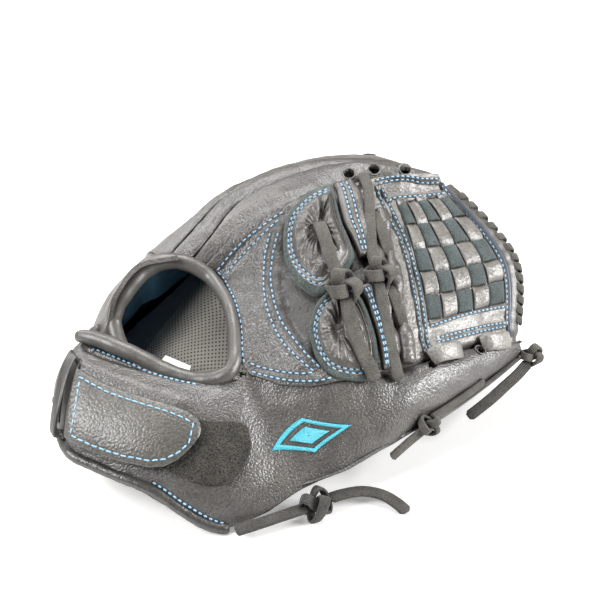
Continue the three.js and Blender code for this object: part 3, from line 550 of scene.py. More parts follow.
def perforatedMaterial(name, colour, worn, hole, pitch=3.8, holeRadius=0.62):
    # perforated leather: round holes on a staggered grid, in millimetres of the piece's own map
    material, tree, shader = newMaterial(name, 0.55, 0.4)
    distances = []
    for shift in (0.0, 0.5):
        scaled = mapPlace(tree, pitch, shift, 0.9)
        cell = addNode(tree, "ShaderNodeVectorMath", {0: scaled}, operation="FRACTION")
        sockets = {0: cell.outputs[0], 1: (0.5, 0.5, 0.0)}
        centred = addNode(tree, "ShaderNodeVectorMath", sockets, operation="SUBTRACT")
        away = addNode(tree, "ShaderNodeVectorMath", {0: centred.outputs[0]}, operation="LENGTH")
        distances.append(away.outputs["Value"])
    nearest = addNode(tree, "ShaderNodeMath", {0: distances[0], 1: distances[1]}, operation="MINIMUM")
    sockets = {0: nearest.outputs[0], 1: holeRadius / pitch * 0.8, 2: holeRadius / pitch * 1.25}
    solid = addNode(tree, "ShaderNodeMapRange", sockets).outputs[0]
    place = addNode(tree, "ShaderNodeTexCoord").outputs["Object"]
    sockets = {"Vector": place, "Scale": 60.0, "Detail": 4.0}
    mottle = addNode(tree, "ShaderNodeTexNoise", sockets).outputs["Fac"]
    wear = addNode(tree, "ShaderNodeMapRange", {0: mottle, 1: 0.35, 2: 0.65}).outputs[0]
    tone = addNode(tree, "ShaderNodeMix", {0: wear, 6: colour, 7: worn}, data_type="RGBA").outputs[2]
    punched = addNode(tree, "ShaderNodeMix", {0: solid, 6: hole, 7: tone}, data_type="RGBA").outputs[2]
    sockets = {"Strength": 0.7, "Distance": 0.0006, "Height": solid}
    pits = addNode(tree, "ShaderNodeBump", sockets).outputs[0]
    sockets = {"Vector": place, "Scale": 1200.0, "Detail": 3.0}
    fine = addNode(tree, "ShaderNodeTexNoise", sockets).outputs["Fac"]
    sockets = {"Strength": 0.2, "Distance": 0.0002, "Height": fine, "Normal": pits}
    paint(tree, shader, punched, addNode(tree, "ShaderNodeBump", sockets).outputs[0])
    return material


def wovenMaterial(name, colour, light, pitch, roughness=0.85, sheen=0.2):
    # plain woven or knitted cloth: two crossed sets of threads, pitch millimetres apart in the piece's map
    material, tree, shader = newMaterial(name, roughness, 0.2, sheen)
    waves = []
    for direction in ("X", "Y"):
        sockets = {"Vector": mapPlace(tree, pitch), "Scale": 0.5}
        waves.append(addNode(tree, "ShaderNodeTexWave", sockets, bands_direction=direction).outputs["Fac"])
    weave = addNode(tree, "ShaderNodeMath", {0: waves[0], 1: waves[1]}, operation="MULTIPLY").outputs[0]
    place = addNode(tree, "ShaderNodeTexCoord").outputs["Object"]
    sockets = {"Vector": place, "Scale": 45.0, "Detail": 3.0}
    uneven = addNode(tree, "ShaderNodeTexNoise", sockets).outputs["Fac"]
    fading = addNode(tree, "ShaderNodeMapRange", {0: uneven, 1: 0.3, 2: 0.7}).outputs[0]
    tone = addNode(tree, "ShaderNodeMix", {0: fading, 6: colour, 7: light}, data_type="RGBA").outputs[2]
    threads = addNode(tree, "ShaderNodeMix", {0: weave, 6: colour, 7: tone}, data_type="RGBA").outputs[2]
    sockets = {"Strength": 0.5, "Distance": 0.0003, "Height": weave}
    paint(tree, shader, threads, addNode(tree, "ShaderNodeBump", sockets).outputs[0])
    return material


def threadMaterial(name, colour, light):
    # twisted polyester sewing thread, strands about 0.4 mm
    material, tree, shader = newMaterial(name, 0.5, 0.4, 0.1)
    place = addNode(tree, "ShaderNodeTexCoord").outputs["Object"]
    sockets = {"Vector": place, "Scale": 2500.0, "Detail": 2.0}
    strands = addNode(tree, "ShaderNodeTexNoise", sockets).outputs["Fac"]
    twist = addNode(tree, "ShaderNodeMapRange", {0: strands, 1: 0.35, 2: 0.65}).outputs[0]
    tone = addNode(tree, "ShaderNodeMix", {0: twist, 6: colour, 7: light}, data_type="RGBA").outputs[2]
    sockets = {"Strength": 0.3, "Distance": 0.0002, "Height": strands}
    paint(tree, shader, tone, addNode(tree, "ShaderNodeBump", sockets).outputs[0])
    return material


def satinMaterial(name, colour, light, strand=0.6):
    # satin-stitch embroidery: parallel shiny threads, strand millimetres apart across the motif
    material, tree, shader = newMaterial(name, 0.38, 0.5, 0.15)
    sockets = {"Vector": mapPlace(tree, strand), "Scale": 0.5, "Distortion": 1.2, "Detail": 2.0}
    threads = addNode(tree, "ShaderNodeTexWave", sockets, bands_direction="X").outputs["Fac"]
    tone = addNode(tree, "ShaderNodeMix", {0: threads, 6: colour, 7: light}, data_type="RGBA").outputs[2]
    sockets = {"Strength": 0.6, "Distance": 0.0004, "Height": threads}
    paint(tree, shader, tone, addNode(tree, "ShaderNodeBump", sockets).outputs[0])
    return material


# Leather: colour, deep and worn tone, roughness, grain, bump, crease
# Nap: colour, light and dark tone, sheen, fibre, bump
shellLeather = leatherMaterial("charcoal_shell_leather", "#514e4b", "#282825", "#5f5c57",
                               0.37, 1.15, 0.75, 0.35)
gussetLeather = leatherMaterial("charcoal_gusset_leather", "#474441", "#22211f", "#53504d",
                                0.37, 1.25, 0.95, 0.3)
# a darker copy of the gusset leather: painted shade for the hollow between the curved seam and the tabs
gussetShadeLeather = leatherMaterial("painted_shade_gusset_leather", "#2e2b29", "#1e1c1b", "#383532", 0.5, 1.4, 0.5, 0.3)
weltLeather = leatherMaterial("charcoal_welt_leather", "#524f4a", "#3b3936", "#5c5954", 0.4, 1.0, 0.2, 0.2)
# near-black leather for the ribbons under the stitches: painted shade of the pressed grooves
seamShadeLeather = leatherMaterial("painted_seam_shade_leather", "#2b2927", "#1f1d1c", "#343230", 0.55, 1.0, 0.2, 0.3)
keeperLeather = leatherMaterial("dark_keeper_leather", "#3f3d3a", "#2f2d2b", "#484643", 0.4, 1.0, 0.2, 0.3)
palmLeather = leatherMaterial("dark_palm_leather", "#3f3d39", "#2a2826", "#4a4844", 0.36, 1.2, 0.5, 0.3)
tabLeather = leatherMaterial("puckered_tab_leather", "#524e49", "#2c2827", "#615d57", 0.38, 1.3, 0.5, 0.8)
webLeather = leatherMaterial("web_leather", "#7f7c77", "#45423e", "#918d87", 0.38, 1.3, 0.6, 0.6)
bandLeather = leatherMaterial("woven_band_leather", "#6c6863", "#3c3836", "#7b7771", 0.38, 1.3, 0.5, 0.8)
strapLeather = leatherMaterial("strap_leather", "#53514b", "#262422", "#605d57", 0.38, 1.3, 0.7, 0.1)
laceLeather = napMaterial("rawhide_lace", "#5e5c56", "#706d67", "#33312e", 0.2, 0.5, 0.6)
# a darker copy of the rawhide lace: painted shade; it dresses the heel lacing, the heel knot and both loose
# ends
shadedLaceLeather = napMaterial("painted_shade_rawhide_lace", "#4b4946", "#5a5854", "#302e2c", 0.15, 0.7, 0.4)
edgeSuede = napMaterial("raw_edge_suede", "#535d59", "#67706c", "#2d3432", 0.3, 0.7, 0.6)
stripSuede = napMaterial("strip_suede", "#4c5454", "#5c6564", "#2c3434", 0.3, 0.8, 0.6)
loopPile = napMaterial("loop_pile", "#3f3d38", "#504d47", "#121110", 0.3, 1.0, 1.0)
hookPile = napMaterial("hook_pile", "#262524", "#343230", "#0f0f0f", 0.1, 0.9, 0.8)
feltWool = napMaterial("felt_wool", "#b3ab9c", "#c2bbad", "#8d8578", 0.3, 1.1, 0.5)
palmLining = perforatedMaterial("perforated_lining", "#78766f", "#837f78", "#161514")
blueCloth = wovenMaterial("blue_lining_cloth", "#78b2d6", "#93cbee", 0.9)
# dark navy cloth: partly its own colour, partly painted shade for the dark inside of the hand
navyCloth = wovenMaterial("navy_lining_cloth", "#343a45", "#434b58", 0.9)
tapeCloth = wovenMaterial("white_tape", "#dedcd6", "#f2f0ea", 0.5)
blueThread = threadMaterial("light_blue_thread", "#74acd0", "#b4d8ec")
navyThread = threadMaterial("navy_thread", "#16243c", "#253a5a")
pipingCord = leatherMaterial("navy_piping_leather", "#2a3240", "#1f242e", "#384253", 0.45, 0.8, 0.2, 0.2)
tealSatin = satinMaterial("teal_satin_thread", "#2fb3cc", "#66d8e8")
print("materials made")


# Stitching

# A stitch's stations along its length, its thickness there, its sides, and how far it stands up and sags
stitchShape = {"along": (-0.5, -0.3, 0.3, 0.5), "thickness": (0.45, 1, 1, 0.45),
               "sides": 6, "lift": 0.3, "sag": 0.5}


def stitchPiece(name, lines, material, pitch, length, radius, phase=0.0):
    # sewn threads: short capsules along lines of points and normals, their ends sunk into the leather
    centres, alongs, ups = [], [], []
    for points, normals in lines:
        total = stepLengths(points).sum()
        count = max(int(total / pitch), 1)
        lengths = runningLength(points)
        at = (np.arange(count) + 0.5 + phase) * total / count
        at = at[at < total]
        centres.append(readAlong(points, lengths, at))
        ups.append(unit(readAlong(normals, lengths, at)))
        alongs.append(unit(readAlong(points, lengths, at + 0.4) - readAlong(points, lengths, at - 0.4)))
    centres, alongs, ups = np.concatenate(centres), np.concatenate(alongs), np.concatenate(ups)
    asides = unit(np.cross(alongs, ups))
    sides = stitchShape["sides"]
    stations = len(stitchShape["along"])
    x = np.array(stitchShape["along"])[:, None] * length
    swell = np.array(stitchShape["thickness"])[:, None] * radius
    angle = 2 * math.pi * np.arange(sides)[None, :] / sides
    sag = stitchShape["lift"] - stitchShape["sag"] * (2 * x / length) ** 2
    local = np.broadcast_arrays(x, swell * np.cos(angle), swell * np.sin(angle) + sag)
    local = np.stack(local, -1).reshape(-1, 3)
    points = (centres[:, None] + alongs[:, None] * local[None, :, :1] + asides[:, None] * local[None, :, 1:2]
              + ups[:, None] * local[None, :, 2:])
    quads = gridQuads(stations, sides, wrap=True)
    caps = np.array([np.arange(sides)[::-1], (stations - 1) * sides + np.arange(sides)])
    offsets = (np.arange(len(centres)) * stations * sides)[:, None, None]
    faces = [(quads[None] + offsets).reshape(-1, 4), (caps[None] + offsets).reshape(-1, sides)]
    return addPiece(name, points, faces, material)


channelShape = {"halfWidth": 1.3, "height": 0.26, "stations": 60, "sides": 8, "power": 1.2}


def seamShadeRibbon(name, lines):
    # painted shade of the pressed seam under a row of stitches: a low dark ribbon of diamond section along
    # each line
    stations, sides = channelShape["stations"], channelShape["sides"]
    points, quads, caps = [], [], []
    for line, normals in lines:
        path, upward = evenly(line, stations, normals)
        rings = sweepRings(path, upward, channelShape["halfWidth"], channelShape["height"], sides,
                           channelShape["power"])[0]
        start = stations * sides * len(points)
        quads.append(gridQuads(stations, sides, wrap=True) + start)
        caps.append(np.array([np.arange(sides)[::-1], (stations - 1) * sides + np.arange(sides)]) + start)
        points.append(rings.reshape(-1, 3))
    faces = [np.concatenate(quads), np.concatenate(caps)]
    return addPiece(name, np.concatenate(points), faces, seamShadeLeather)


def sewn(name, lines, place, pitch=3.8, length=2.8, radius=0.5):
    # a pressed seam in two threads: light blue stitches with navy ones showing between them
    # the dark ribbon under the stitches is painted shade of the groove
    place(seamShadeRibbon(f"{name}_seam_shade_ribbon", lines))
    for material, tone, phase, share in ((blueThread, "blue", 0.0, 1.0), (navyThread, "navy", 0.5, 0.5)):
        size = (pitch, length * share, radius * (0.8 + 0.2 * share))
        place(stitchPiece(f"{name}_{tone}_stitches", lines, material, *size, phase))


def onThumb(piece):
    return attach(piece, "thumb_half")


def onFingers(piece):
    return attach(piece, "finger_half")


def onStrap(piece):
    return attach(piece, "strap")


def dress(piece, slot, carry, *nodes):
    # the solids that a piece stands for, its material slot (not used) and the body that carries it
    if nodes:
        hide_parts(*nodes)
    carry(piece)


# Loose lace ends
laceSettings = {"width": 7.0, "thickness": 2.4, "heelWidth": 8.0}
tipTailRoute = [[128, -68.5, 31.5], [117, -71, 28], [105, -73.5, 26], [93, -76, 24], [82, -77.5, 22],
                [72, -78, 19.5]]
heelTailRoute = [[-34, -81, 9], [-25, -82, 8.5], [-13, -85, 7], [-4, -92, 5], [0, -101, 3.4], [1, -110, 2.6]]


def looseEnd(name, route, width, upward, node):
    # a flat lace along its route; the mesh and its centre line share the same points
    path = evenly(splineLine(route, 120), 30)[0]
    # the loose ends take the darker lace copy: painted shade
    piece = sweepPiece(name, path, upward, width / 2, laceSettings["thickness"] / 2, shadedLaceLeather, 20, 5.0)
    dress(piece, "lace_leather", onThumb, node)


looseEnd("tip_lace_end", tipTailRoute, laceSettings["width"], (0, -0.6, 0.8), "thumb_tip_tail")
looseEnd("heel_lace_end", heelTailRoute, laceSettings["heelWidth"], (0, 0, 1), "heel_lace_tail")
print("loose lace ends made")


# Thumb and wrist band in one leather
thumbSettings = {"stallBase": 4.5, "leather": 2.6, "bandDepth": 6.0,
                 "rows": 190, "tipRows": 30, "columns": 84,
                 "eyeletRadius": 3.0, "eyelets": [(7.4, 0.9), (8.28, 0.9)],
                 "narrowing": 0.3, "bandPower": 18, "outerPower": 4, "innerPower": 4.5,
                 "soleStations": (4.5, 5.5), "outerStations": (4.4, 5.6), "innerStations": (6.1, 6.9),
                 "soft": {"swell": (0.5, 60), "crumple": (0.22, 16), "seed": 3}}


def archRise(x, leftPower, rightPower):
    # height share of a superellipse (1 - |x|^n)^(1/n), with its own n on each side
    n = np.where(x < 0, leftPower, rightPower)
    return np.maximum(1 - np.abs(x) ** n, 0) ** (1 / n)


def acrossArch(count):
    # steps across an arch from -1 to 1, close together at its feet
    angle = math.pi * (1 - np.linspace(0, 1, count))
    return np.sign(np.cos(angle)) * np.abs(np.cos(angle)) ** 0.5


def tipShare(row):
    # 0 along a stall, rising to 1 where its tip closes
    return np.clip((row - 3.45) / 0.55, 0, 1)


def stallRows(first, last, rows, tipRows):
    # steps along a stall, closer together over its tip
    body = np.linspace(first, last - 0.6, rows - tipRows)
    return np.concatenate([body, np.linspace(last - 0.58, last, tipRows)])[:, None]


def thumbColumn(x):
    return 1.5 + 1.5 * x


def thumbSkin(station, x):
    # base + (surface - base) * rise, where the base is the palm under the thumb and, at the wrist,
    # the band's own inside
    station, x = np.broadcast_arrays(np.asarray(station, float), np.asarray(x, float))
    row = station - thumbRoot
    tip = tipShare(row)
    narrow = 1 - thumbSettings["narrowing"] * tip**3
    column = 1.5 + 1.5 * x * narrow
    surface = thumb.point(column, station)
    inside = thumb.above(column, station, -thumbSettings["bandDepth"])
    sole = palm.above(column * 2 / 3, row + palmRowOffset, thumbSettings["stallBase"])
    share = smoothStep(*thumbSettings["soleStations"], station)[..., None]
    base = inside * (1 - share) + sole * share
    powers = [thumbSettings["bandPower"] + (thumbSettings[f"{edge}Power"] - thumbSettings["bandPower"])
              * smoothStep(*thumbSettings[f"{edge}Stations"], station) for edge in ("outer", "inner")]
    rise = archRise(x, *powers) * np.sqrt(1 - tip**3)
    return base + (surface - base) * rise[..., None]


def thumbRipple(skin):
    return unevenness(skin, **thumbSettings["soft"])


lipSettings = {"starts": (1.2, 1.9), "ends": (4.15, 3.75),
               "pad": {"height": 2.4, "middle": 2.3, "width": 0.24},
               "groove": {"height": 1.3, "middle": 2.76, "width": 0.05}}


def lipPad(column, station):
    # the padded strip under the band's lip, with a groove along its seam
    bandRow = thumbRoot - station
    along = smoothStep(*lipSettings["starts"], bandRow) * smoothStep(*lipSettings["ends"], bandRow)
    return along * (bell(column, **lipSettings["pad"]) - bell(column, **lipSettings["groove"]))


def addThumb():
    station = stallRows(0.0, 9, thumbSettings["rows"], thumbSettings["tipRows"])
    x = acrossArch(thumbSettings["columns"])[None, :]
    skin = thumbSkin(station, x)
    normals = gridNormals(skin)
    soft = thumbRipple(skin) + lipPad(thumbColumn(x), station)
    inner = skin - normals * thumbSettings["leather"]
    skin = skin + normals * soft[..., None]
    holes = [thumbSkin(*eyelet) for eyelet in thumbSettings["eyelets"]]
    keep = outsideHoles(skin, holes, thumbSettings["eyeletRadius"])
    piece = shellPiece("thumb_and_band_leather", skin, inner, shellLeather, keep=keep)
    dress(piece, "grey_leather", onThumb, "thumb_stall", "wrist_band")


addThumb()
print("thumb and band made")


# Finger stalls
stallSettings = {"rows": 110, "tipRows": 26, "columns": 56, "base": 4.5, "mouth": 5.5, "leather": 2.4,
                 "eyeletRadius": 3.6, "width": 0.99, "narrowing": 0.28, "tipPower": 4,
                 "mouthRows": (1.5, 0.5), "easingRows": (0.9, 1.8), "pinkyOutside": (-0.2, 0.5),
                 "pinch": {"height": 0.35, "middle": 0.9, "width": 0.5},
                 "soft": {"swell": (0.4, 45), "crumple": (0.18, 13), "seed": 11}}
# The seams between fingers, as (row, column): close together at the wrist, spread out at the tips
fingerSeams = [
    [(-0.1, 4.24), (4.0, 4.24)],
    [(-0.1, 4.6), (0.17, 4.66), (0.42, 4.73), (0.7, 4.84), (1.04, 4.92), (1.4, 5.01), (2.0, 5.09),
     (4.0, 5.09)],
    [(-0.1, 5.06), (0.2, 5.16), (0.5, 5.24), (0.9, 5.36), (1.4, 5.66), (2.2, 6.05), (4.0, 6.05)],
    [(-0.1, 5.46), (0.13, 5.56), (0.3, 5.62), (0.9, 6.05), (1.6, 6.65), (2.4, 7.0), (4.0, 7.0)],
    [(-0.1, 8.0), (4.0, 8.0)],
]
stalls = {
    "index": {"seam": 0, "powers": (16, 5), "carry": overFold,
              "eyelets": [(4.46, 2.0), (4.46, 2.5), (4.42, 3.2)]},
    "middle": {"seam": 1, "powers": (5, 5), "carry": overFold, "eyelets": []},
    "ring": {"seam": 2, "powers": (5, 5), "carry": onFingers, "eyelets": []},
    "pinky": {"seam": 3, "powers": (7, 6), "carry": onFingers, "eyelets": []},
}


def stallEdges(name, row):
    lines = [np.array(fingerSeams[stalls[name]["seam"] + k]) for k in (0, 1)]
    return [np.interp(row, line[:, 0], line[:, 1]) for line in lines]


def stallAcross(name, column, row):
    low, high = stallEdges(name, row)
    return (2 * column - low - high) / (high - low)


def stallSkin(name, row, x):
    # an arch over the palm: base + (back - base) * rise, open at the hand and closing on the palm at the tip
    row, x = np.broadcast_arrays(np.asarray(row, float), np.asarray(x, float))
    low, high = stallEdges(name, row)
    tip = tipShare(row)
    narrow = 1 - stallSettings["narrowing"] * tip**3
    column = (low + high) / 2 + (high - low) / 2 * stallSettings["width"] * narrow * x
    surface = back.point(column, row)
    sole = palm.above(column, row + palmRowOffset, stallSettings["base"])
    shallow = back.above(column, row, -stallSettings["mouth"])
    outside = smoothStep(*stallSettings["pinkyOutside"], x) if name == "pinky" else 0
    mouth = (smoothStep(*stallSettings["mouthRows"], row) * (1 - outside))[..., None]
    base = sole + (shallow - sole) * mouth
    easing = smoothStep(*stallSettings["easingRows"], row)
    powers = [power + (stallSettings["tipPower"] - power) * easing for power in stalls[name]["powers"]]
    rise = archRise(x, *powers)
    return base + (surface - base) * (rise * np.sqrt(1 - tip**3))[..., None]


def addStall(name):
    row = stallRows(-0.06, 4, stallSettings["rows"], stallSettings["tipRows"])
    x = acrossArch(stallSettings["columns"])[None, :]
    skin = stallSkin(name, row, x)
    normals = gridNormals(skin)
    inner = skin - normals * stallSettings["leather"]
    pinch = bell(row, **stallSettings["pinch"])
    soft = unevenness(skin, **stallSettings["soft"]) + pinch * np.sin(7 * x + 9 * row)
    skin = skin + normals * soft[..., None]
    holes = [stallSkin(name, r, stallAcross(name, c, r)) for c, r in stalls[name]["eyelets"]]
    keep = outsideHoles(skin, holes, stallSettings["eyeletRadius"])
    piece = shellPiece(f"{name}_finger_leather", skin, inner, shellLeather, keep=keep)
    dress(piece, "grey_leather", stalls[name]["carry"], f"{name}_stall")


for stallName in stalls:
    addStall(stallName)
print("finger stalls made")


# Gusset between the thumb, the index finger and the hand opening
gussetSettings = {
    "upper": [(-0.1, 4.3), (0, 4.36), (0.3, 4.38), (0.53, 4.38), (0.71, 4.34), (0.86, 4.27), (0.96, 4.2),
              (1.62, 4.2)],
    "lower": [(-0.1, 2.22), (-0.05, 2.08), (0, 1.97), (0.35, 1.86), (0.74, 1.9), (1.08, 1.98), (1.3, 2.0),
              (1.62, 2.02)],
    "rows": (-0.1, 1.62),
    "leather": 2.2,
    "hollow": 3.2,
    "perColumn": 55,
    "perRow": 60,
    "width": 110,
    "shaded": (2.15, 4.02),
    "groove": {"height": 1.0, "middle": 0, "width": 1.7},
    "ridge": {"height": 0.7, "middle": 7, "width": 3.0},
    "soft": {"swell": (0.35, 30), "crumple": (0.18, 9), "seed": 21},
}
gussetStitches = {
    "upper_outer": [(4.12, 0.0), (4.18, 0.23), (4.19, 0.43), (4.16, 0.66), (4.13, 0.91)],
    "upper_inner": [(3.93, 0.03), (4.0, 0.2), (4.03, 0.4), (4.05, 0.61), (4.06, 0.81)],
    "curve_outer": [(4.0, 0.65), (3.75, 0.49), (3.44, 0.4), (3.14, 0.36), (2.83, 0.37), (2.53, 0.46),
                    (2.33, 0.61), (2.12, 0.83)],
    "curve_inner": [(3.92, 0.72), (3.7, 0.58), (3.39, 0.48), (3.08, 0.46), (2.78, 0.49), (2.55, 0.61),
                    (2.34, 0.76), (2.17, 0.91)],
    "lower_outer": [(2.16, 0.03), (2.11, 0.16), (2.08, 0.4), (2.08, 0.65), (2.11, 0.82)],
    "lower_inner": [(2.03, 0.02), (1.99, 0.16), (1.96, 0.38), (1.97, 0.63), (2.0, 0.89), (2.04, 1.04)],
    "rim": [(4.11, 0.0), (3.6, -0.02), (3.21, 0.0), (2.92, 0.0), (2.61, -0.01), (2.36, -0.03), (2.14, -0.04)],
}


# The middle of the curved seam, between its two stitch lines
gussetSeam = splineLine(np.mean([gussetStitches["curve_outer"], gussetStitches["curve_inner"]], axis=0), 60)


def gussetSeamRow(column):
    return np.interp(column, gussetSeam[::-1, 0], gussetSeam[::-1, 1])


def gussetHeight(column, row):
    # the leather lies on the net, rides up over the index finger and the thumb, is drawn in between the two
    # stitch lines of the curved seam, and lies hollow between that seam and the tabs
    across = (column[..., None] - gussetSeam[:, 0]) * gussetSettings["perColumn"]
    along = (row[..., None] - gussetSeam[:, 1]) * gussetSettings["perRow"]
    gap = np.hypot(across, along).min(-1)
    groove = bell(gap, **gussetSettings["groove"]) - bell(gap, **gussetSettings["ridge"])
    hollow = gussetSettings["hollow"] * smoothStep(0.04, 0.2, row - gussetSeamRow(column))
    hollow = hollow * smoothStep(2.1, 2.3, column) * smoothStep(4.05, 3.8, column)
    over = 1.7 * smoothStep(4.08, 4.26, column) + 1.0 * smoothStep(2.1, 1.95, column)
    return 0.35 + over - groove - hollow


def gussetSkin(column, row):
    height = gussetHeight(column, row)
    soft = unevenness(back.above(column, row, height), **gussetSettings["soft"])
    outer = back.above(column, row, height + soft)
    return outer, back.above(column, row, height - gussetSettings["leather"])


def addGusset():
    b = edgeSpaced(80, 0.012)[:, None]
    a = edgeSpaced(90, 0.01)[None, :]
    first, last = gussetSettings["rows"]
    row = first + (last - first) * b
    upper = np.array(gussetSettings["upper"])
    lower = np.array(gussetSettings["lower"])
    high = np.interp(row, upper[:, 0], upper[:, 1])
    low = np.interp(row, lower[:, 0], lower[:, 1])
    column, row = np.broadcast_arrays(low + (high - low) * a, row)
    outer, inner = gussetSkin(column, row)
    toEdge = np.minimum(a, 1 - a) * gussetSettings["width"]
    drop = edgeDrop(np.broadcast_to(toEdge, column.shape), 1.0)[..., None]
    outer = outer + (inner - outer) * drop * 0.4
    piece = shellPiece("gusset_leather", outer, inner, gussetLeather)
    # faces past the curved seam within the shaded columns take the darker copy: painted shade
    piece.data.materials.append(gussetShadeLeather)
    cellColumn, cellRow = column[:-1, :-1], row[:-1, :-1]
    left, right = gussetSettings["shaded"]
    cells = (cellRow - gussetSeamRow(cellColumn) > 0) & (cellColumn > left) & (cellColumn < right)
    shade = np.zeros(len(piece.data.polygons), int)
    shade[:cells.size] = cells.ravel()
    piece.data.polygons.foreach_set("material_index", shade)
    dress(piece, "grey_leather", overFold, "gusset_thumb_side", "gusset_finger_side")
    lines = []
    for stops in gussetStitches.values():
        line = splineLine(stops, 80)
        lines.append((gussetSkin(line[:, 0], line[:, 1])[0], back.normal(line[:, 0], line[:, 1])))
    sewn("gusset", lines, overFold)


addGusset()
print("gusset made")


# Palm leather and the perforated palm lining
palmSettings = {"leather": 3.6, "notchColumns": (2.04, 4.06), "notchRow": 3.72,
                "perColumn": 30, "perRow": 40,
                "soft": {"swell": (0.4, 40), "crumple": (0.2, 12), "seed": 31}}


def addPalm():
    low, high = palmSettings["notchColumns"]
    notch = palmSettings["notchRow"]
    column = spans((0, low, high, 8), (34, 34, 64))[None, :]
    row = spans((0, notch, 6), (64, 44))[:, None]
    column, row = np.broadcast_arrays(column, row)
    soft = unevenness(palm.point(column, row), **palmSettings["soft"])
    distance = np.minimum(np.minimum(column, 8 - column) * palmSettings["perColumn"],
                          np.minimum(row, 6 - row) * palmSettings["perRow"])
    drop = edgeDrop(distance, 1.5)
    outer = palm.above(column, row, palmSettings["leather"] - drop)
    inner = palm.above(column, row, soft + drop)
    outer[..., 2] = np.maximum(outer[..., 2], floorLevel + leastLeather)
    middleColumn = cellMiddles(column)
    keep = ~((middleColumn > low) & (middleColumn < high) & (cellMiddles(row) > notch))
    piece = shellPiece("palm_leather", outer, inner, palmLeather, keep=keep)
    dress(piece, "dark_leather", overFold, "palm_thumb_side", "palm_finger_side")


addPalm()
# Perforated lining under the thumb side of the hand, navy cloth over the heel pads; the navy cloth's dark
# tone is partly its own colour and partly painted shade deep in the hand
liningSettings = {
    "palm_lining_leather": {"columns": (2.3, 5.3), "spread": (0.0, 0.7), "rows": (0.12, 3.5), "rise": 0.0,
                            "node": "palm_lining_thumb_side", "material": palmLining},
    "hand_lining_cloth": {"columns": (5.15, 7.7), "spread": (0.7, 0.0), "rows": (0.1, 2.6), "rise": 5.6,
                          "node": "palm_lining_finger_side", "material": navyCloth},
}


liningLayer = {"height": 4.5, "thickness": 1.2, "shift": (0.5, 2.0), "pads": (0, 0.9), "rows": 90,
               "columns": 80}


def addLining(name, settings):
    # palm surface + height + rise over the pads; the map is in millimetres along both directions
    row = np.linspace(*settings["rows"], liningLayer["rows"])[:, None]
    shift = smoothStep(*liningLayer["shift"], row)
    low, high = [edge + spread * shift for edge, spread in zip(settings["columns"], settings["spread"])]
    column = low + (high - low) * np.linspace(0, 1, liningLayer["columns"])[None, :]
    column, row = np.broadcast_arrays(column, row)
    height = liningLayer["height"] + settings["rise"] * smoothStep(*liningLayer["pads"], column - low)
    inner = palm.above(column, row, height)
    outer = palm.above(column, row, height + liningLayer["thickness"] + 0.3 * ripple(inner, 30, 35))
    across = runningLength(outer[liningLayer["rows"] // 2])[None, :]
    along = runningLength(outer[:, liningLayer["columns"] // 2])[:, None]
    uv = np.stack(np.broadcast_arrays(across, along), -1)
    piece = shellPiece(name, outer, inner, settings["material"], uv)
    dress(piece, "perforated_lining", overFold, settings["node"])


for liningName, liningValues in liningSettings.items():
    addLining(liningName, liningValues)
print("palm made")


# Rolled welts
# The opening's roll starts inside the band, climbs the little finger's side, passes the fingers and
# the gusset, turns the corner at the thumb and becomes the band's lip: x, y, z and radius in millimetres
openingRoll = [
    (-93, 54, 59, 4.8), (-93, 62, 62.5, 5.0), (-91, 69, 68.5, 5.1), (-88, 72, 73.6, 5.2),
    (-84, 74, 78.4, 5.3), (-77, 76, 83.2, 5.4), (-70, 78, 87, 5.5), (-62, 80, 90, 5.6),
    (-54, 80, 92.4, 5.6), (-45, 77, 92.4, 5.4), (-37, 70, 91.6, 5.1), (-30.5, 62, 87.4, 4.7),
    (-28.5, 54, 84.6, 4.4), (-29.5, 40, 81.7, 4.2), (-33, 27, 79.8, 4.1), (-38, 15, 75.8, 4.1),
    (-43, 6, 71, 4.2), (-49, -3, 67, 4.5), (-56, -7, 63, 4.9), (-64, -3, 59.5, 5.1),
    (-72, 4, 58.2, 5.1), (-79, 12, 59.4, 5.0), (-86, 21, 62, 5.0), (-93, 31, 66.5, 5.0),
    (-101, 42, 70, 5.0), (-108, 53, 72, 4.8), (-114, 62, 72, 4.4), (-117, 67, 70, 4.0),
]
weltSettings = {"heelRadius": 3.3, "heelSpan": (0.93, 5), "heelSink": 0.6,
                "sideRadius": 3.6, "sideSpan": (0.22, 2.86), "steps": 300}


def rolledWelt(name, path, upward, radius, nodes, seed, place, material):
    # a padded roll with slight swells along it
    along = np.linspace(0, 1, len(path))
    turn = 2 * math.pi
    swell = 1 + 0.025 * np.sin(turn * 9 * along + seed) + 0.02 * np.sin(turn * 23 * along + 2 * seed)
    piece = sweepPiece(name, path, upward, radius * swell, radius * swell, material, 24)
    dress(piece, "dark_leather", place, *nodes)


def addWelts():
    roll = np.array(openingRoll, float)
    fine = splineLine(roll, 600)
    path, radius = evenly(fine[:, :3], 280, np.repeat(fine[:, 3:], 3, axis=1))
    flat = path - path.mean(0)
    planeNormal = np.linalg.svd(flat, full_matrices=False)[2][2]
    rolledWelt("opening_welt", path, np.broadcast_to(planeNormal, path.shape), radius[:, 0],
               ["opening_welt_gusset", "opening_welt_fingers", "band_lip_welt"], 1, overFold, weltLeather)
    stations = np.linspace(*weltSettings["heelSpan"], weltSettings["steps"])
    hem = band.above(0.0, stations, -weltSettings["heelSink"])
    path, upward = evenly(hem, 150, band.normal(0.0, stations))
    rolledWelt("heel_welt_roll", path, upward, weltSettings["heelRadius"],
               ["heel_welt"], 2, onThumb, palmLeather)
    columns = np.linspace(*weltSettings["sideSpan"], weltSettings["steps"])
    path, upward = evenly(side.point(columns, 0.0), 120, side.normal(columns, 0.0))
    rolledWelt("side_welt_roll", path, upward, weltSettings["sideRadius"],
               ["side_wrist_welt"], 3, onFingers, weltLeather)


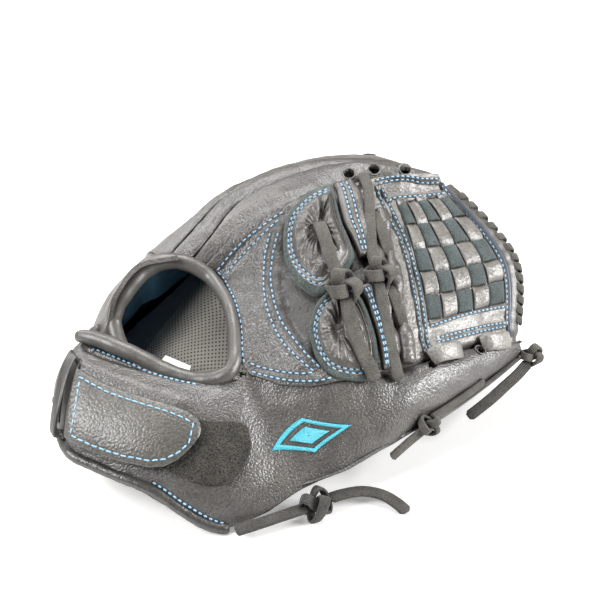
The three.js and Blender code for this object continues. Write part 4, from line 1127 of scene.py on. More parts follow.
def onBand(stops):
    # a line of (column, row) stops over the dressed band
    line = splineLine(stops, 80)
    station = thumbRoot - line[:, 1]
    skin = thumbSkin(station, (line[:, 0] - 1.5) / 1.5)
    normals = band.normal(line[:, 0], line[:, 1])
    return skin + normals * (thumbRipple(skin) + lipPad(line[:, 0], station) + 0.1)[:, None], normals


addWelts()
lipSeam = onBand([(2.78, 3.78), (2.87, 3.66), (2.87, 3.29), (2.83, 2.89), (2.77, 2.48), (2.73, 2.13),
                  (2.71, 1.8), (2.7, 1.66)])
heelSeam = onBand([(0.21, 2.0), (0.2, 1.6), (0.18, 1.3), (0.14, 1.12), (0.11, 1.0)])
sewn("band", [lipSeam, heelSeam], onThumb, 3.4, 2.5, 0.65)
print("welts made")


# Little finger's wrist panel with the blue cloth behind it
sideSettings = {"leather": 2.6, "lining": 1.2,
                "soft": {"swell": (0.4, 30), "crumple": (0.15, 10), "seed": 41}}


def addSide():
    # the panel's upper corner reaches past its welt, to tuck under the roll of the opening
    column = np.linspace(-0.3, 3, 54)[None, :]
    first = -0.7 * smoothStep(1.1, 0.3, column)
    station = first + (3.0 - first) * np.linspace(0, 1, 44)[:, None]
    column, station = np.broadcast_arrays(column, station)
    outer = side.above(column, station, unevenness(side.point(column, station), **sideSettings["soft"]))
    inner = side.above(column, station, -sideSettings["leather"])
    inner[..., 2] = np.maximum(inner[..., 2], floorLevel + leastLeather)
    piece = shellPiece("side_wrist_leather", outer, inner, shellLeather)
    dress(piece, "grey_leather", onFingers, "side_wrist_panel")
    return piece


def addBackLining(panel):
    # cloth under the wrist panel, then under the back: panel + (back - panel) * share past the panel's end
    column = np.linspace(0.1, 2.3, 40)[None, :]
    station = np.linspace(0.12, 3.9, 56)[:, None]
    column, station = np.broadcast_arrays(column, station)
    depth = -3.3 - 6.0 * smoothStep(2.5, 3.1, station)
    onPanel = side.above(column, np.minimum(station, 3), depth)
    onBack = back.above(column + 5, np.maximum(station - 3, 0), depth)
    top = onPanel + (onBack - onPanel) * smoothStep(2.7, 3.2, station)[..., None]
    normals = gridNormals(top)
    inward = np.sign((normals * (palm.point(6.0, 2.5) - top)).sum(-1, keepdims=True))
    under = top + normals * inward * (sideSettings["lining"] + 0.25 * ripple(top, 14, 43))[..., None]
    width = stepLengths(top[20]).sum()
    length = stepLengths(top[:, 20]).sum()
    across, along = np.linspace(0, width, 40)[None, :], np.linspace(0, length, 56)[:, None]
    uv = np.stack(np.broadcast_arrays(across, along), -1)
    cloth = shellPiece("blue_back_lining", top, under, blueCloth, uv)
    dress(cloth, "blue_lining", onFingers, "back_lining")


addBackLining(addSide())
print("wrist panel made")


# Wrist strap
strapSettings = {"thickness": 2.5, "flapBottom": 3.45, "rows": (1.5, 3.84), "size": (38, 78),
                 "stitchRows": (1.62, 3.66), "stitchInset": 0.17, "stitchLift": 0.45,
                 "stitch": {"pitch": 4.6, "length": 3.4, "radius": 0.5},
                 "hem": [(1.5, 1.72), (1.53, 1.6), (1.59, 1.39), (1.71, 1.04), (1.86, 0.76), (2.06, 0.58),
                         (2.48, 0.46), (3.2, 0.38), (3.84, 0.42)],
                 "lip": [(1.5, 1.76), (1.53, 1.9), (1.58, 1.98), (1.73, 2.04), (2.02, 2.04), (2.55, 2.0),
                         (3.06, 1.98), (3.76, 2.08), (3.84, 2.1)]}


def strapPlace(rows, inset):
    hem = np.array(strapSettings["hem"])
    lip = np.array(strapSettings["lip"])

    def place(a, b):
        row = rows[0] + (rows[1] - rows[0]) * b
        low = np.interp(row, hem[:, 0], hem[:, 1]) + inset
        high = np.interp(row, lip[:, 0], lip[:, 1]) - inset
        return low + (high - low) * a, row
    return place


def addStrap():
    bottom = strapSettings["flapBottom"]
    top = bottom + strapSettings["thickness"]

    def puff(a, b):
        # 0.5 (1 - (2a - 1)^4) (1 - (2b - 1)^6)
        return 0.5 * (1 - (2 * a - 1) ** 4) * (1 - (2 * b - 1) ** 6)
    flap = sheetPiece("strap_flap_leather", band, strapPlace(strapSettings["rows"], 0.0),
                      strapSettings["size"], bottom, top, strapLeather, 1.0, (40, 70), puff)
    dress(flap, "grey_leather", onStrap, "strap_flap")
    b = np.linspace(0, 1, 60)
    place = strapPlace(strapSettings["stitchRows"], strapSettings["stitchInset"])
    edges = [np.stack(place(np.full(60, edge), b), -1) for edge in (0.0, 1.0)]
    ending = np.stack(place(np.linspace(1, 0, 30), np.ones(30)), -1)
    loop = np.concatenate([edges[0][::-1], edges[1], ending[1:]])
    points = band.above(loop[:, 0], loop[:, 1], top + strapSettings["stitchLift"])
    normals = band.normal(loop[:, 0], loop[:, 1])
    onStrap(stitchPiece("flap_blue_stitches", [(points, normals)], blueThread, **strapSettings["stitch"]))
    hook = sheetPiece("hook_pile_patch", band, strapPlace((1.72, 2.4), 0.3), (24, 24), 2.2, 3.1,
                      hookPile, 0.4, (20, 20))
    dress(hook, "hook_and_loop", onStrap, "hook_patch")


addStrap()
loopOutline = [(0.6, 1.66), (0.66, 1.95), (0.75, 2.06), (1.05, 2.16), (1.5, 2.04), (2.0, 1.93),
               (2.5, 1.84), (2.5, 0.5), (2.0, 0.62), (1.84, 0.68), (1.58, 0.76), (1.33, 0.86),
               (1.08, 0.99), (0.88, 1.14), (0.74, 1.36), (0.64, 1.5)]


def addLoopPatch():
    # polar grid from the middle of the outline to its edge, in rows and columns of the band
    outline = closedSpline(loopOutline, 120)[:, ::-1]
    middle = np.array([1.4, 1.5])
    reach = np.concatenate([np.linspace(0.03, 0.97, 26), [0.985, 0.995, 1.0]])
    place = middle + reach[:, None, None] * (outline[None] - middle)
    height = 1.85 - edgeDrop((1 - reach) * 30, 1.2)
    tufts = 0.25 * ripple(band.point(place[..., 0], place[..., 1]), 2.6, 51)
    top = band.above(place[..., 0], place[..., 1], height[:, None] + tufts)
    under = band.above(outline[:, 0], outline[:, 1], 0.2)[None]
    piece = ringPiece("loop_pile_patch", np.concatenate([top, under]), loopPile)
    dress(piece, "hook_and_loop", onThumb, "loop_patch")


addLoopPatch()
keeperSettings = {"row": 4.08, "edges": (0.3, 2.3), "heights": (0.9, 7.2),
                  "halfWidth": 3.4, "halfThickness": 1.1}


def addKeeper():
    # a flat moulded loop: a rounded rectangle round the strap, in the band's columns and heights
    low, high = keeperSettings["edges"]
    bottom, top = keeperSettings["heights"]
    corners = [(low + 0.1, bottom), (high - 0.1, bottom), (high, bottom + 1.5), (high, top - 1.5),
               (high - 0.1, top), ((low + high) / 2, top), (low + 0.1, top), (low, top - 1.5),
               (low, bottom + 1.5)]
    outline = closedSpline(corners, 90)
    row = keeperSettings["row"]
    path = band.above(outline[:, 0], row, outline[:, 1])
    along = unit(np.roll(path, -1, 0) - np.roll(path, 1, 0))
    rowWay = unit(band.point(outline[:, 0], row + 0.05) - band.point(outline[:, 0], row - 0.05))
    outward = unit(np.cross(along, rowWay))
    piece = sweepPiece("strap_keeper_loop", path, outward, keeperSettings["halfWidth"],
                       keeperSettings["halfThickness"], keeperLeather, 16, 4.0, True)
    dress(piece, "dark_leather", onThumb, "strap_keeper")
    base = sheetPiece("strap_base_leather", band, lambda a, b: (0.4 + 1.8 * a, 4.25 + 0.62 * b), (40, 22),
                      0.35, 2.85, strapLeather, 1.0, (30, 20))
    dress(base, "grey_leather", onThumb, "strap_base")


addKeeper()
print("strap made")


# Web: leather frame with a window, five leather bands and five suede strips woven through it
webSettings = {"depth": 7.3, "leather": 2.2, "windowColumns": (2.5, 3.83), "windowRows": (2.46, 3.8),
               "columns": (1.93, 4.22), "rows": (1.62, 3.86), "middle": -8.2, "wave": 1.7,
               "strips": 5, "stripColumn": 2.63, "stripPitch": 0.262, "stripWidth": 14.2, "suede": 1.6,
               "bands": 5, "bandLeather": 2.0, "tuck": 0.05, "perColumn": 58, "perRow": 46,
               "soft": {"swell": (0.35, 18), "crumple": (0.2, 7), "seed": 61}}


def webHeight(column):
    # the frame lies under the bars, and climbs to the index finger at its upper edge
    climb = 6.2 * smoothStep(3.9, 4.2, column)
    fall = 1.0 * smoothStep(2.34, 2.2, column) - 6.0 * smoothStep(2.12, 1.95, column)
    return -webSettings["depth"] + 0.6 + climb + fall


def webWave(x):
    # over and under: a cosine with flattened crests
    return np.tanh(1.9 * np.cos(math.pi * x)) / math.tanh(1.9)


def addWebFrame():
    c0, c1 = webSettings["windowColumns"]
    r0, r1 = webSettings["windowRows"]
    low, high = webSettings["columns"]
    start, end = webSettings["rows"]
    column = spans((low, c0, c1, high), (22, 40, 22))[None, :]
    row = spans((start, r0, r1, end), (30, 40, 6))[:, None]
    column, row = np.broadcast_arrays(column, row)
    height = webHeight(column)
    soft = unevenness(back.above(column, row, height), **webSettings["soft"])
    toWindow = np.maximum(np.maximum(c0 - column, column - c1) * webSettings["perColumn"],
                          np.maximum(r0 - row, row - r1) * webSettings["perRow"])
    drop = edgeDrop(np.maximum(toWindow, 0), 1.2)
    outer = back.above(column, row, height + soft - drop)
    inner = back.above(column, row, height - webSettings["leather"])
    middleColumn, middleRow = cellMiddles(column), cellMiddles(row)
    keep = ~((middleColumn > c0) & (middleColumn < c1) & (middleRow > r0) & (middleRow < r1))
    piece = shellPiece("web_frame_leather", outer, inner, webLeather, keep=keep)
    dress(piece, "grey_leather", overFold, "web_panel")


def addWebWeave():
    # bands and strips lie at middle +- wave * webWave(place in pitches), one over where the other is under
    c0, c1 = webSettings["windowColumns"]
    r0, r1 = webSettings["windowRows"]
    middle, wave, tuck = webSettings["middle"], webSettings["wave"], webSettings["tuck"]
    pitch = (r1 - r0) / webSettings["bands"]
    width = webSettings["stripWidth"]
    bandHalf, suedeHalf = webSettings["bandLeather"] / 2, webSettings["suede"] / 2

    def bandColumn(a):
        return c0 - tuck + (c1 - c0 + 2 * tuck) * a

    def stripRow(b):
        return r0 - tuck + (r1 - r0 + 2 * tuck) * b

    for k in range(webSettings["bands"]):
        sign = -1 if k % 2 == 0 else 1

        def bandPlace(a, b):
            return bandColumn(a), r0 + pitch * (k + 0.03 + 0.94 * b)

        def bandLift(a, b):
            across = (bandColumn(a) - webSettings["stripColumn"]) / webSettings["stripPitch"]
            return sign * wave * webWave(across) + 0.3 * np.sin(9 * a + 5 * b)
        strip = sheetPiece(f"web_band_{k + 1}", back, bandPlace, (82, 12),
                           middle - bandHalf, middle + bandHalf, bandLeather, 0.8, (90, 12), bandLift)
        dress(strip, "grey_leather", overFold)
    for i in range(webSettings["strips"]):
        column = webSettings["stripColumn"] + i * webSettings["stripPitch"]
        half = width / 2 / webSettings["perColumn"]
        sign = 1 if i % 2 == 0 else -1

        def stripPlace(a, b):
            return column + half * (2 * a - 1), stripRow(b)

        def stripLift(a, b):
            return sign * wave * webWave((stripRow(b) - r0) / pitch - 0.5)
        strip = sheetPiece(f"web_suede_strip_{i + 1}", back, stripPlace, (width, 66),
                           middle - suedeHalf, middle + suedeHalf, stripSuede, 0.6, (10, 90), stripLift)
        dress(strip, "suede", overFold, f"web_strip_{i + 1}")


def addWebStitches():
    stitchStops = {
        "left_outer": [(4.1, 2.16), (3.9, 2.14), (3.62, 2.18), (3.42, 2.25), (3.15, 2.29), (2.83, 2.29),
                       (2.58, 2.29), (2.31, 2.3), (2.14, 2.33)],
        "left_inner": [(4.05, 2.25), (3.85, 2.26), (3.6, 2.3), (3.39, 2.36), (3.12, 2.39), (2.82, 2.39),
                       (2.57, 2.39), (2.32, 2.39), (2.17, 2.42)],
        "top_first": [(4.17, 2.2), (4.18, 2.6), (4.16, 3.0), (4.1, 3.35), (4.08, 3.8)],
        "top_second": [(4.11, 2.22), (4.12, 2.6), (4.1, 3.0), (4.04, 3.35), (4.02, 3.8)],
        "window_top": [(3.86, 2.3), (3.9, 2.42), (3.88, 2.9), (3.86, 3.3), (3.86, 3.78)],
        "window_bottom": [(2.43, 2.47), (2.45, 2.75), (2.47, 3.04), (2.47, 3.31), (2.46, 3.58), (2.45, 3.78)],
        "bottom_first": [(2.28, 2.55), (2.28, 3.09), (2.27, 3.44), (2.24, 3.8)],
        "bottom_second": [(2.23, 2.55), (2.22, 3.09), (2.21, 3.44), (2.19, 3.8)],
        "right": [(4.0, 3.815), (3.7, 3.82), (3.4, 3.82), (3.1, 3.82), (2.8, 3.82), (2.5, 3.82),
                  (2.2, 3.815)],
    }
    lines = []
    for stops in stitchStops.values():
        stops = np.array(stops)
        lines.append(surfaceLine(back, np.column_stack([stops, webHeight(stops[:, 0]) + 0.45]), 60))
    sewn("web", lines, overFold, 3.4, 2.4)


addWebFrame()
addWebWeave()
addWebStitches()
print("web made")


# Web edges
edgeSettings = {"pipingRow": 3.85, "lipRow": 3.945, "lipHalf": (5.4, 3.2), "turns": 13,
                "laceHalf": (2.5, 0.9), "laceRow": 4.02, "laceReach": (3.4, 3.9)}


def addWebEdge():
    columns = np.linspace(1.99, 4.02, 90)
    row = edgeSettings["pipingRow"]
    path = back.above(columns, row, webHeight(columns) + 0.6)
    piping = sweepPiece("web_piping", path, back.normal(columns, row), 1.5, 1.5, pipingCord, 12)
    dress(piping, "dark_leather", overFold)
    columns = np.linspace(1.96, 3.98, 120)
    row = edgeSettings["lipRow"]
    height = -webSettings["depth"] - 0.6 - 1.6 * smoothStep(2.12, 1.96, columns)
    path = back.above(columns, row, height)
    wide, tall = edgeSettings["lipHalf"]
    swell = 1 + 0.04 * np.cos(2 * math.pi * edgeSettings["turns"] * np.linspace(0, 1, 120))
    upward = back.normal(columns, row)
    lip = sweepPiece("web_lip_leather", path, upward, wide * swell, tall * swell, weltLeather, 20, 2.4)
    dress(lip, "dark_leather", overFold, "web_binding")


def addEdgeLace():
    # a lace wound round the lip: centre + reach out * cos(angle) + reach up * sin(angle)
    steps = edgeSettings["turns"] * 26
    columns = np.linspace(2.2, 3.86, steps)
    row = edgeSettings["laceRow"]
    centre = back.above(columns, row, -webSettings["depth"] - 0.6)
    upward = back.normal(columns, row)
    along = unit(np.gradient(centre, axis=0))
    outward = unit(np.cross(along, upward))
    angle = 2 * math.pi * edgeSettings["turns"] * np.linspace(0, 1, steps)
    reachOut, reachUp = edgeSettings["laceReach"]
    radial = outward * np.cos(angle)[:, None] * reachOut + upward * np.sin(angle)[:, None] * reachUp
    wide, tall = edgeSettings["laceHalf"]
    lace = sweepPiece("web_edge_lacing", centre + radial, unit(radial), wide, tall, laceLeather, 10, 4.0)
    dress(lace, "lace_leather", overFold, "web_edge_lace")


addWebEdge()
addEdgeLace()
print("web edge made")


# Bars at the crotch
barSettings = {"radius": 4.7, "pinch": 0.58, "rows": (1.8, 1.99), "columns": (2.06, 3.74), "height": -1.6,
               "puffs": [[(2.2, 2.44), (2.62, 3.3)], [(2.0, 2.43), (2.83, 3.12), (3.5, 3.74)]]}


def addBars():
    # a padded roll that stands full between its lace wraps and is pinched under them
    for k, row in enumerate(barSettings["rows"]):
        columns = np.linspace(*barSettings["columns"], 90)
        path = back.above(columns, row, barSettings["height"])
        full = sum(smoothStep(a - 0.06, a + 0.06, columns) * smoothStep(b + 0.06, b - 0.06, columns)
                   for a, b in barSettings["puffs"][k])
        swell = barSettings["pinch"] + (1 - barSettings["pinch"]) * np.minimum(full, 1)
        bar = sweepPiece(f"web_bar_roll_{k + 1}", path, back.normal(columns, row),
                         barSettings["radius"] * 1.1 * swell, barSettings["radius"] * swell, tabLeather, 20)
        dress(bar, "dark_leather", overFold, f"web_bar_{k + 1}")


addBars()


# Puckered tabs that anchor the web
tabs = {
    "index": {"node": "web_tab_index", "centre": (3.67, 1.15), "pleats": 13, "sewnTo": 9.2,
              "outline": [(4.26, 1.55), (4.23, 1.31), (4.13, 1.08), (4.02, 0.89), (3.84, 0.77),
                          (3.62, 0.7), (3.4, 0.7), (3.17, 0.78), (3.0, 0.92), (2.95, 1.06),
                          (3.02, 1.22), (3.12, 1.38), (3.25, 1.5), (3.42, 1.48), (3.66, 1.43),
                          (3.9, 1.45), (4.11, 1.51)]},
    "thumb": {"node": "web_tab_thumb", "centre": (2.56, 1.2), "pleats": 11, "sewnTo": 8.4,
              "outline": [(2.95, 1.08), (2.84, 0.94), (2.64, 0.84), (2.44, 0.84), (2.24, 0.9),
                          (2.07, 1.03), (1.97, 1.25), (1.94, 1.46), (2.06, 1.57), (2.32, 1.6),
                          (2.56, 1.57), (2.8, 1.5), (2.95, 1.38), (3.0, 1.22)]},
}
tabSettings = {"edge": 2.9, "crown": 5.4, "hollow": 1.4, "pleat": 0.9, "stitchAt": (0.83, 0.75),
               "spokes": 170, "rawEdge": 0.87, "underside": -2.6}


def tabHeight(reach, angle, pleats):
    # a flat sewn rim, a crowned ring with radial pleats, and a hollow where the lace goes in
    ring = smoothStep(0.76, 0.58, reach)
    hollow = smoothStep(0.42, 0.1, reach)
    strength = 0.6 + 0.5 * np.sin(2 * angle + 1)
    pleat = np.sin(pleats * angle + 2.6 * np.sin(3 * angle) + 2.5 * reach) * strength
    pleat = pleat + 0.45 * np.sin((pleats + 8) * angle + 3 * np.sin(5 * angle) - 4 * reach)
    pleat = pleat * smoothStep(0.1, 0.3, reach) * smoothStep(0.76, 0.45, reach)
    groove = sum(bell(reach, 0.55, at, 0.02) for at in tabSettings["stitchAt"])
    height = tabSettings["edge"] + (tabSettings["crown"] - tabSettings["edge"]) * ring
    height = height + (tabSettings["hollow"] - tabSettings["crown"]) * hollow
    return height + tabSettings["pleat"] * pleat - groove


def addTab(name, tab):
    spokes = tabSettings["spokes"]
    outline = closedSpline(tab["outline"], spokes)
    centre = np.array(tab["centre"])

    def at(reach):
        return centre + reach[..., None] * (outline[None] - centre)
    angle = (2 * math.pi * np.arange(spokes) / spokes)[None, :]
    edge, underside = tabSettings["rawEdge"], tabSettings["underside"]
    reach = np.linspace(0.03, edge, 62)[:, None]
    place = at(reach)
    top = back.above(place[..., 0], place[..., 1], tabHeight(reach, angle, tab["pleats"]))
    rim = at(np.array([[edge]]))
    under = back.above(rim[..., 0], rim[..., 1], underside)
    piece = ringPiece(f"{name}_tab_leather", np.concatenate([top, under]), tabLeather)
    dress(piece, "grey_leather", overFold, tab["node"])
    reach = np.array([edge - 0.01, edge + 0.01, 0.95, 0.985, 1.0, 1.0, edge - 0.01])[:, None]
    height = np.array([2.5, 2.7, 2.6, 2.3, 1.5, underside, underside])[:, None]
    place = at(reach)
    rough = 0.18 * ripple(back.point(place[..., 0], place[..., 1]), 3.0, 71)
    rings = back.above(place[..., 0], place[..., 1], height + rough)
    suede = ringPiece(f"{name}_tab_raw_edge", rings, edgeSuede, closed=True)
    dress(suede, "suede", overFold)
    sewnSpokes = slice(0, int(tab["sewnTo"] / len(tab["outline"]) * spokes))
    lines = []
    for share in tabSettings["stitchAt"]:
        line = at(np.array([[share]]))[0, sewnSpokes]
        height = tabHeight(np.full(len(line), share), angle[0, sewnSpokes], tab["pleats"])
        lines.append((back.above(line[:, 0], line[:, 1], height), back.normal(line[:, 0], line[:, 1])))
    sewn(f"{name}_tab", lines, overFold)


for tabName, tabValues in tabs.items():
    addTab(tabName, tabValues)
# Folded leather strips between the tabs and the web, each sewn along its edge
strips = {
    "index": {"left": [(4.2, 1.57), (4.08, 1.54), (3.9, 1.48), (3.66, 1.46), (3.45, 1.52), (3.24, 1.58)],
              "right": [(4.24, 1.84), (4.1, 1.82), (3.9, 1.78), (3.66, 1.75), (3.45, 1.73), (3.22, 1.71)]},
    "thumb": {"left": [(2.92, 1.5), (2.74, 1.56), (2.56, 1.6), (2.38, 1.63), (2.2, 1.64), (2.04, 1.64)],
              "right": [(2.94, 1.64), (2.74, 1.68), (2.56, 1.7), (2.38, 1.72), (2.2, 1.72), (2.04, 1.72)]},
}


def addStrip(name, strip):
    left = np.array(strip["left"])
    right = np.array(strip["right"])

    def place(a, b):
        station = b * (len(left) - 1)
        edge = splineCurve(left, station) * (1 - a[..., None]) + splineCurve(right, station) * a[..., None]
        return edge[..., 0], edge[..., 1]

    def lift(a, b):
        # a wave of 0.5 mm along the free edge: 0.5 a sin(17 b + 2 a)
        return 0.5 * np.sin(17 * b + 2 * a) * a
    top = 4.2
    piece = sheetPiece(f"{name}_web_strip", back, place, (9, 50), -2.0, top,
                       tabLeather, 1.6, (14, 60), lift)
    dress(piece, "grey_leather", overFold)
    lines = []
    for share in (0.28, 0.55):
        b = np.linspace(0.04, 0.96, 60)
        a = np.full(60, share)
        column, row = place(a, b)
        lines.append((back.above(column, row, top + lift(a, b)), back.normal(column, row)))
    sewn(f"{name}_strip", lines, overFold)


for stripName, stripValues in strips.items():
    addStrip(stripName, stripValues)
print("tabs made")


# Laces and knots on the web side

def surfaceLace(name, surface, stops, width, nodes, place, count=60, thickness=2.4, material=laceLeather):
    # a flat lace over a surface through (column, row, height) stops, its face along the surface normal
    path, upward = surfaceLine(surface, stops, count)
    piece = sweepPiece(name, path, upward, width / 2, thickness / 2, material, 16, 4.0)
    dress(piece, "lace_leather", place, *nodes)


def knotPiece(name, centre, along, upward, size, width, nodes, place, material=laceLeather):
    # a lace wound on itself, pressed to the knot's size: (sin t + 2 sin 2t, cos t - 2 cos 2t, -sin 3t)
    t = np.linspace(0, 2 * math.pi, 121)[:-1]
    first = (np.sin(t) + 2 * np.sin(2 * t)) / 3
    second = (np.cos(t) - 2 * np.cos(2 * t)) / 3
    loop = np.stack([first, second, -np.sin(3 * t)], 1)
    along = unit(np.asarray(along, float))
    aside = unit(np.cross(np.asarray(upward, float), along))
    top = np.cross(along, aside)
    axes = np.stack([along * size[0] / 2, aside * size[1] / 2, top * size[2] / 2])
    path = np.asarray(centre, float) + loop @ axes
    outward = unit(loop * np.array([1, 1, 1.6]) @ np.stack([along, aside, top]))
    piece = sweepPiece(name, path, outward, width / 2, 1.1, material, 12, 4.0, True)
    dress(piece, "lace_leather", place, *nodes)


surfaceLace("tab_lace_strap", back,
            [(3.72, 1.17, 2.5), (3.66, 1.17, 5.4), (3.5, 1.18, 7.6), (3.3, 1.2, 8.0), (3.1, 1.25, 8.4),
             (2.95, 1.28, 8.6)],
            8.0, ["tab_lace"], overFold)
surfaceLace("tab_lace_tail", back,
            [(2.86, 1.3, 9.0), (2.7, 1.3, 8.6), (2.5, 1.32, 7.6), (2.3, 1.38, 6.6), (2.1, 1.46, 5.5),
             (1.9, 1.52, 5.0)],
            8.4, [], overFold)
knotAt = back.above(2.92, 1.29, 9.5)
knotWay = back.point(2.8, 1.34) - back.point(3.05, 1.24)
knotPiece("tab_lace_knot", knotAt, knotWay, back.normal(2.92, 1.29), (20, 18, 8.5), 8.2,
          ["tab_knot"], overFold)
surfaceLace("bar_lace_strap", back,
            [(4.36, 2.1, 1.2), (4.2, 2.02, 2.6), (4.0, 1.92, 3.2), (3.7, 1.8, 3.6), (3.4, 1.74, 3.4),
             (3.2, 1.72, 3.4), (3.06, 1.74, 3.8)],
            6.8, ["bar_lace"], overFold)
surfaceLace("bar_lace_tail", back,
            [(2.96, 1.74, 4.0), (2.8, 1.72, 4.2), (2.5, 1.73, 3.8), (2.2, 1.76, 3.4), (1.96, 1.8, 2.6),
             (1.84, 1.82, 2.0)],
            7.0, [], overFold)
barKnotAt = back.above(3.0, 1.76, 5.4)
barKnotWay = back.point(2.9, 1.8) - back.point(3.1, 1.72)
knotPiece("bar_lace_knot", barKnotAt, barKnotWay, back.normal(3.0, 1.76), (17, 15.5, 8.2), 7.2,
          ["bar_knot"], overFold)
surfaceLace("bar_wrap_upper", back,
            [(3.74, 1.85, -0.5), (3.62, 1.87, 2.0), (3.45, 1.9, 2.8), (3.3, 1.93, 1.8),
             (3.2, 1.96, -1.0)],
            6.8, [], overFold, 40)
surfaceLace("bar_wrap_lower", back,
            [(2.86, 1.87, 0.0), (2.76, 1.89, 2.2), (2.62, 1.93, 2.4), (2.47, 1.98, -0.5)],
            6.8, [], overFold, 40)
indexLacing = [(3.83 + 0.03 * math.sin(k * math.pi / 2), 2.05 + 0.103 * k, -11.5) for k in range(17)]
surfaceLace("index_web_lacing", back, indexLacing, 3.5, ["index_web_lace"], overFold, 90)
surfaceLace("thumb_web_lacing", back,
            [(2.06, 2.4, -4.0), (2.08, 2.46, 0.2), (2.07, 2.64, 1.6), (2.05, 2.82, 0.6),
             (2.03, 2.94, -4.0)],
            11.0, ["thumb_web_lace"], onThumb, 60, 4.5, webLeather)
surfaceLace("thumb_web_lacing_tip", back,
            [(2.02, 3.34, -4.0), (2.03, 3.4, 0.0), (2.0, 3.54, 1.2), (1.98, 3.7, 0.0),
             (1.97, 3.78, -4.0)],
            11.0, [], onThumb, 60, 4.5, webLeather)
surfaceLace("fingertip_lacing", back, [(c, 3.62, 0.3) for c in (5.8, 6.1, 6.4, 6.8, 7.2, 7.6)], 7.0,
            ["fingertip_lace"], onFingers)
print("web laces made")


# Laces along the thumb's outer edge
surfaceLace("thumb_edge_lacing", back,
            [(0.3, 2.56, 1.4), (0.32, 2.8, 1.6), (0.34, 3.0, 1.6), (0.37, 3.22, 1.5), (0.4, 3.42, 1.2)],
            7.0, ["thumb_edge_lace"], onThumb)
edgeKnotAt = back.above(0.28, 2.48, 4.6)
edgeKnotUp = back.normal(0.28, 2.48)
knotPiece("thumb_edge_knot_wrap", edgeKnotAt, (1, 0, 0), edgeKnotUp, (13, 11, 8.5), 5.0, ["thumb_edge_knot"],
          onThumb)
stubRoute = edgeKnotAt + np.array([[0, 0, 0], [-9, 0, -3.5], [-18, 0.5, -8], [-27, 1, -13]])
stub = sweepPiece("thumb_edge_lace_stub", splineLine(stubRoute, 30), edgeKnotUp, 3.4, 1.1,
                  laceLeather, 16, 5.0)
dress(stub, "lace_leather", onThumb)
knotPiece("thumb_tip_knot_wrap", (132.6, -66.6, 34), (1, -0.2, 0.2), (0, -0.6, 0.8), (14, 11, 8.5), 5.0,
          ["thumb_tip_knot"], onThumb)
heelRoute = [[-92, -70.5, 6], [-80, -73.5, 7], [-66, -76.5, 8], [-49, -79.6, 8.6]]
# the heel lace and its knot take the darker lace copy: painted shade
heelLace = sweepPiece("heel_lacing", splineLine(heelRoute, 50), (0, 0, 1), 4.0, 1.3, shadedLaceLeather, 16, 5.0)
dress(heelLace, "lace_leather", onThumb, "heel_lace")
knotPiece("heel_knot_wrap", (-43, -80.5, 8.6), (1, -0.2, 0), (0, 0, 1), (18, 15, 15), 6.5, ["heel_knot"],
          onThumb, shadedLaceLeather)
print("thumb laces made")


# Eyelet rims

def skinFrame(skin, row, x):
    # a place on a skin, with the skin's run along its rows and across them
    alongRow = skin(row + 0.05, x) - skin(row - 0.05, x)
    alongX = skin(row, x + 0.02) - skin(row, x - 0.02)
    return skin(row, x), alongRow, alongX


def indexSkin(row, x):
    return stallSkin("index", row, x)


def addEyelets():
    rims = []
    for station, x in thumbSettings["eyelets"]:
        rims.append((*skinFrame(thumbSkin, station, x), thumbSettings["eyeletRadius"], onThumb))
    for column, row in stalls["index"]["eyelets"]:
        x = stallAcross("index", column, row)
        rims.append((*skinFrame(indexSkin, row, x), stallSettings["eyeletRadius"], overFold))
    for k, (place, alongRow, alongX, radius, carry) in enumerate(rims):
        first = unit(alongRow)
        normal = unit(np.cross(first, alongX))
        second = np.cross(normal, first)
        t = np.linspace(0, 2 * math.pi, 41)[:-1]
        path = place + (radius + 0.5) * (np.cos(t)[:, None] * first + np.sin(t)[:, None] * second)
        rim = sweepPiece(f"eyelet_rim_{k + 1}", path, normal, 0.6, 0.4, shellLeather, 10, 2.0, True)
        dress(rim, "dark_leather", carry)


addEyelets()
print("eyelets made")


# Plain embroidered lozenge on the thumb
motifSettings = {"place": (5.5, -0.06), "halfStation": 0.72, "halfX": 0.34, "lean": 0.1, "height": 0.8}


def addMotif():
    # a lozenge ring and a smaller filled lozenge: |u| + |v| = 1 scaled on the thumb's skin
    for name, inside, outside in (("ring", 0.76, 1.0), ("heart", 0.02, 0.5)):
        t = (2 * math.pi * np.arange(160) / 160)[None, :]
        reach = np.array([inside, inside + 0.02, (inside + outside) / 2, outside - 0.02, outside])[:, None]
        size = reach / (np.abs(np.cos(t)) + np.abs(np.sin(t)))
        middleStation, middleX = motifSettings["place"]
        station = middleStation + motifSettings["halfStation"] * size * np.cos(t)
        lean = motifSettings["lean"] * size * np.cos(t)
        x = middleX + motifSettings["halfX"] * size * np.sin(t) + lean
        skin = thumbSkin(station, x)
        normal = thumb.normal(thumbColumn(x), station)
        crown = np.array([0.1, 0.75, 1.0, 0.75, 0.1])[:, None]
        lift = crown * motifSettings["height"] + 0.1 + thumbRipple(skin)
        top = skin + normal * lift[..., None]
        under = skin - normal * 0.6
        rings = np.concatenate([top, under[-1:], under[:1]])
        uv = np.stack([station * 40, x * 50], -1)
        uv = np.concatenate([uv, uv[-1:], uv[:1]])
        piece = ringPiece(f"thumb_lozenge_{name}", rings, tealSatin, uv, closed=name == "ring")
        onThumb(piece)


addMotif()
print("motif made")


# Padding inside the glove

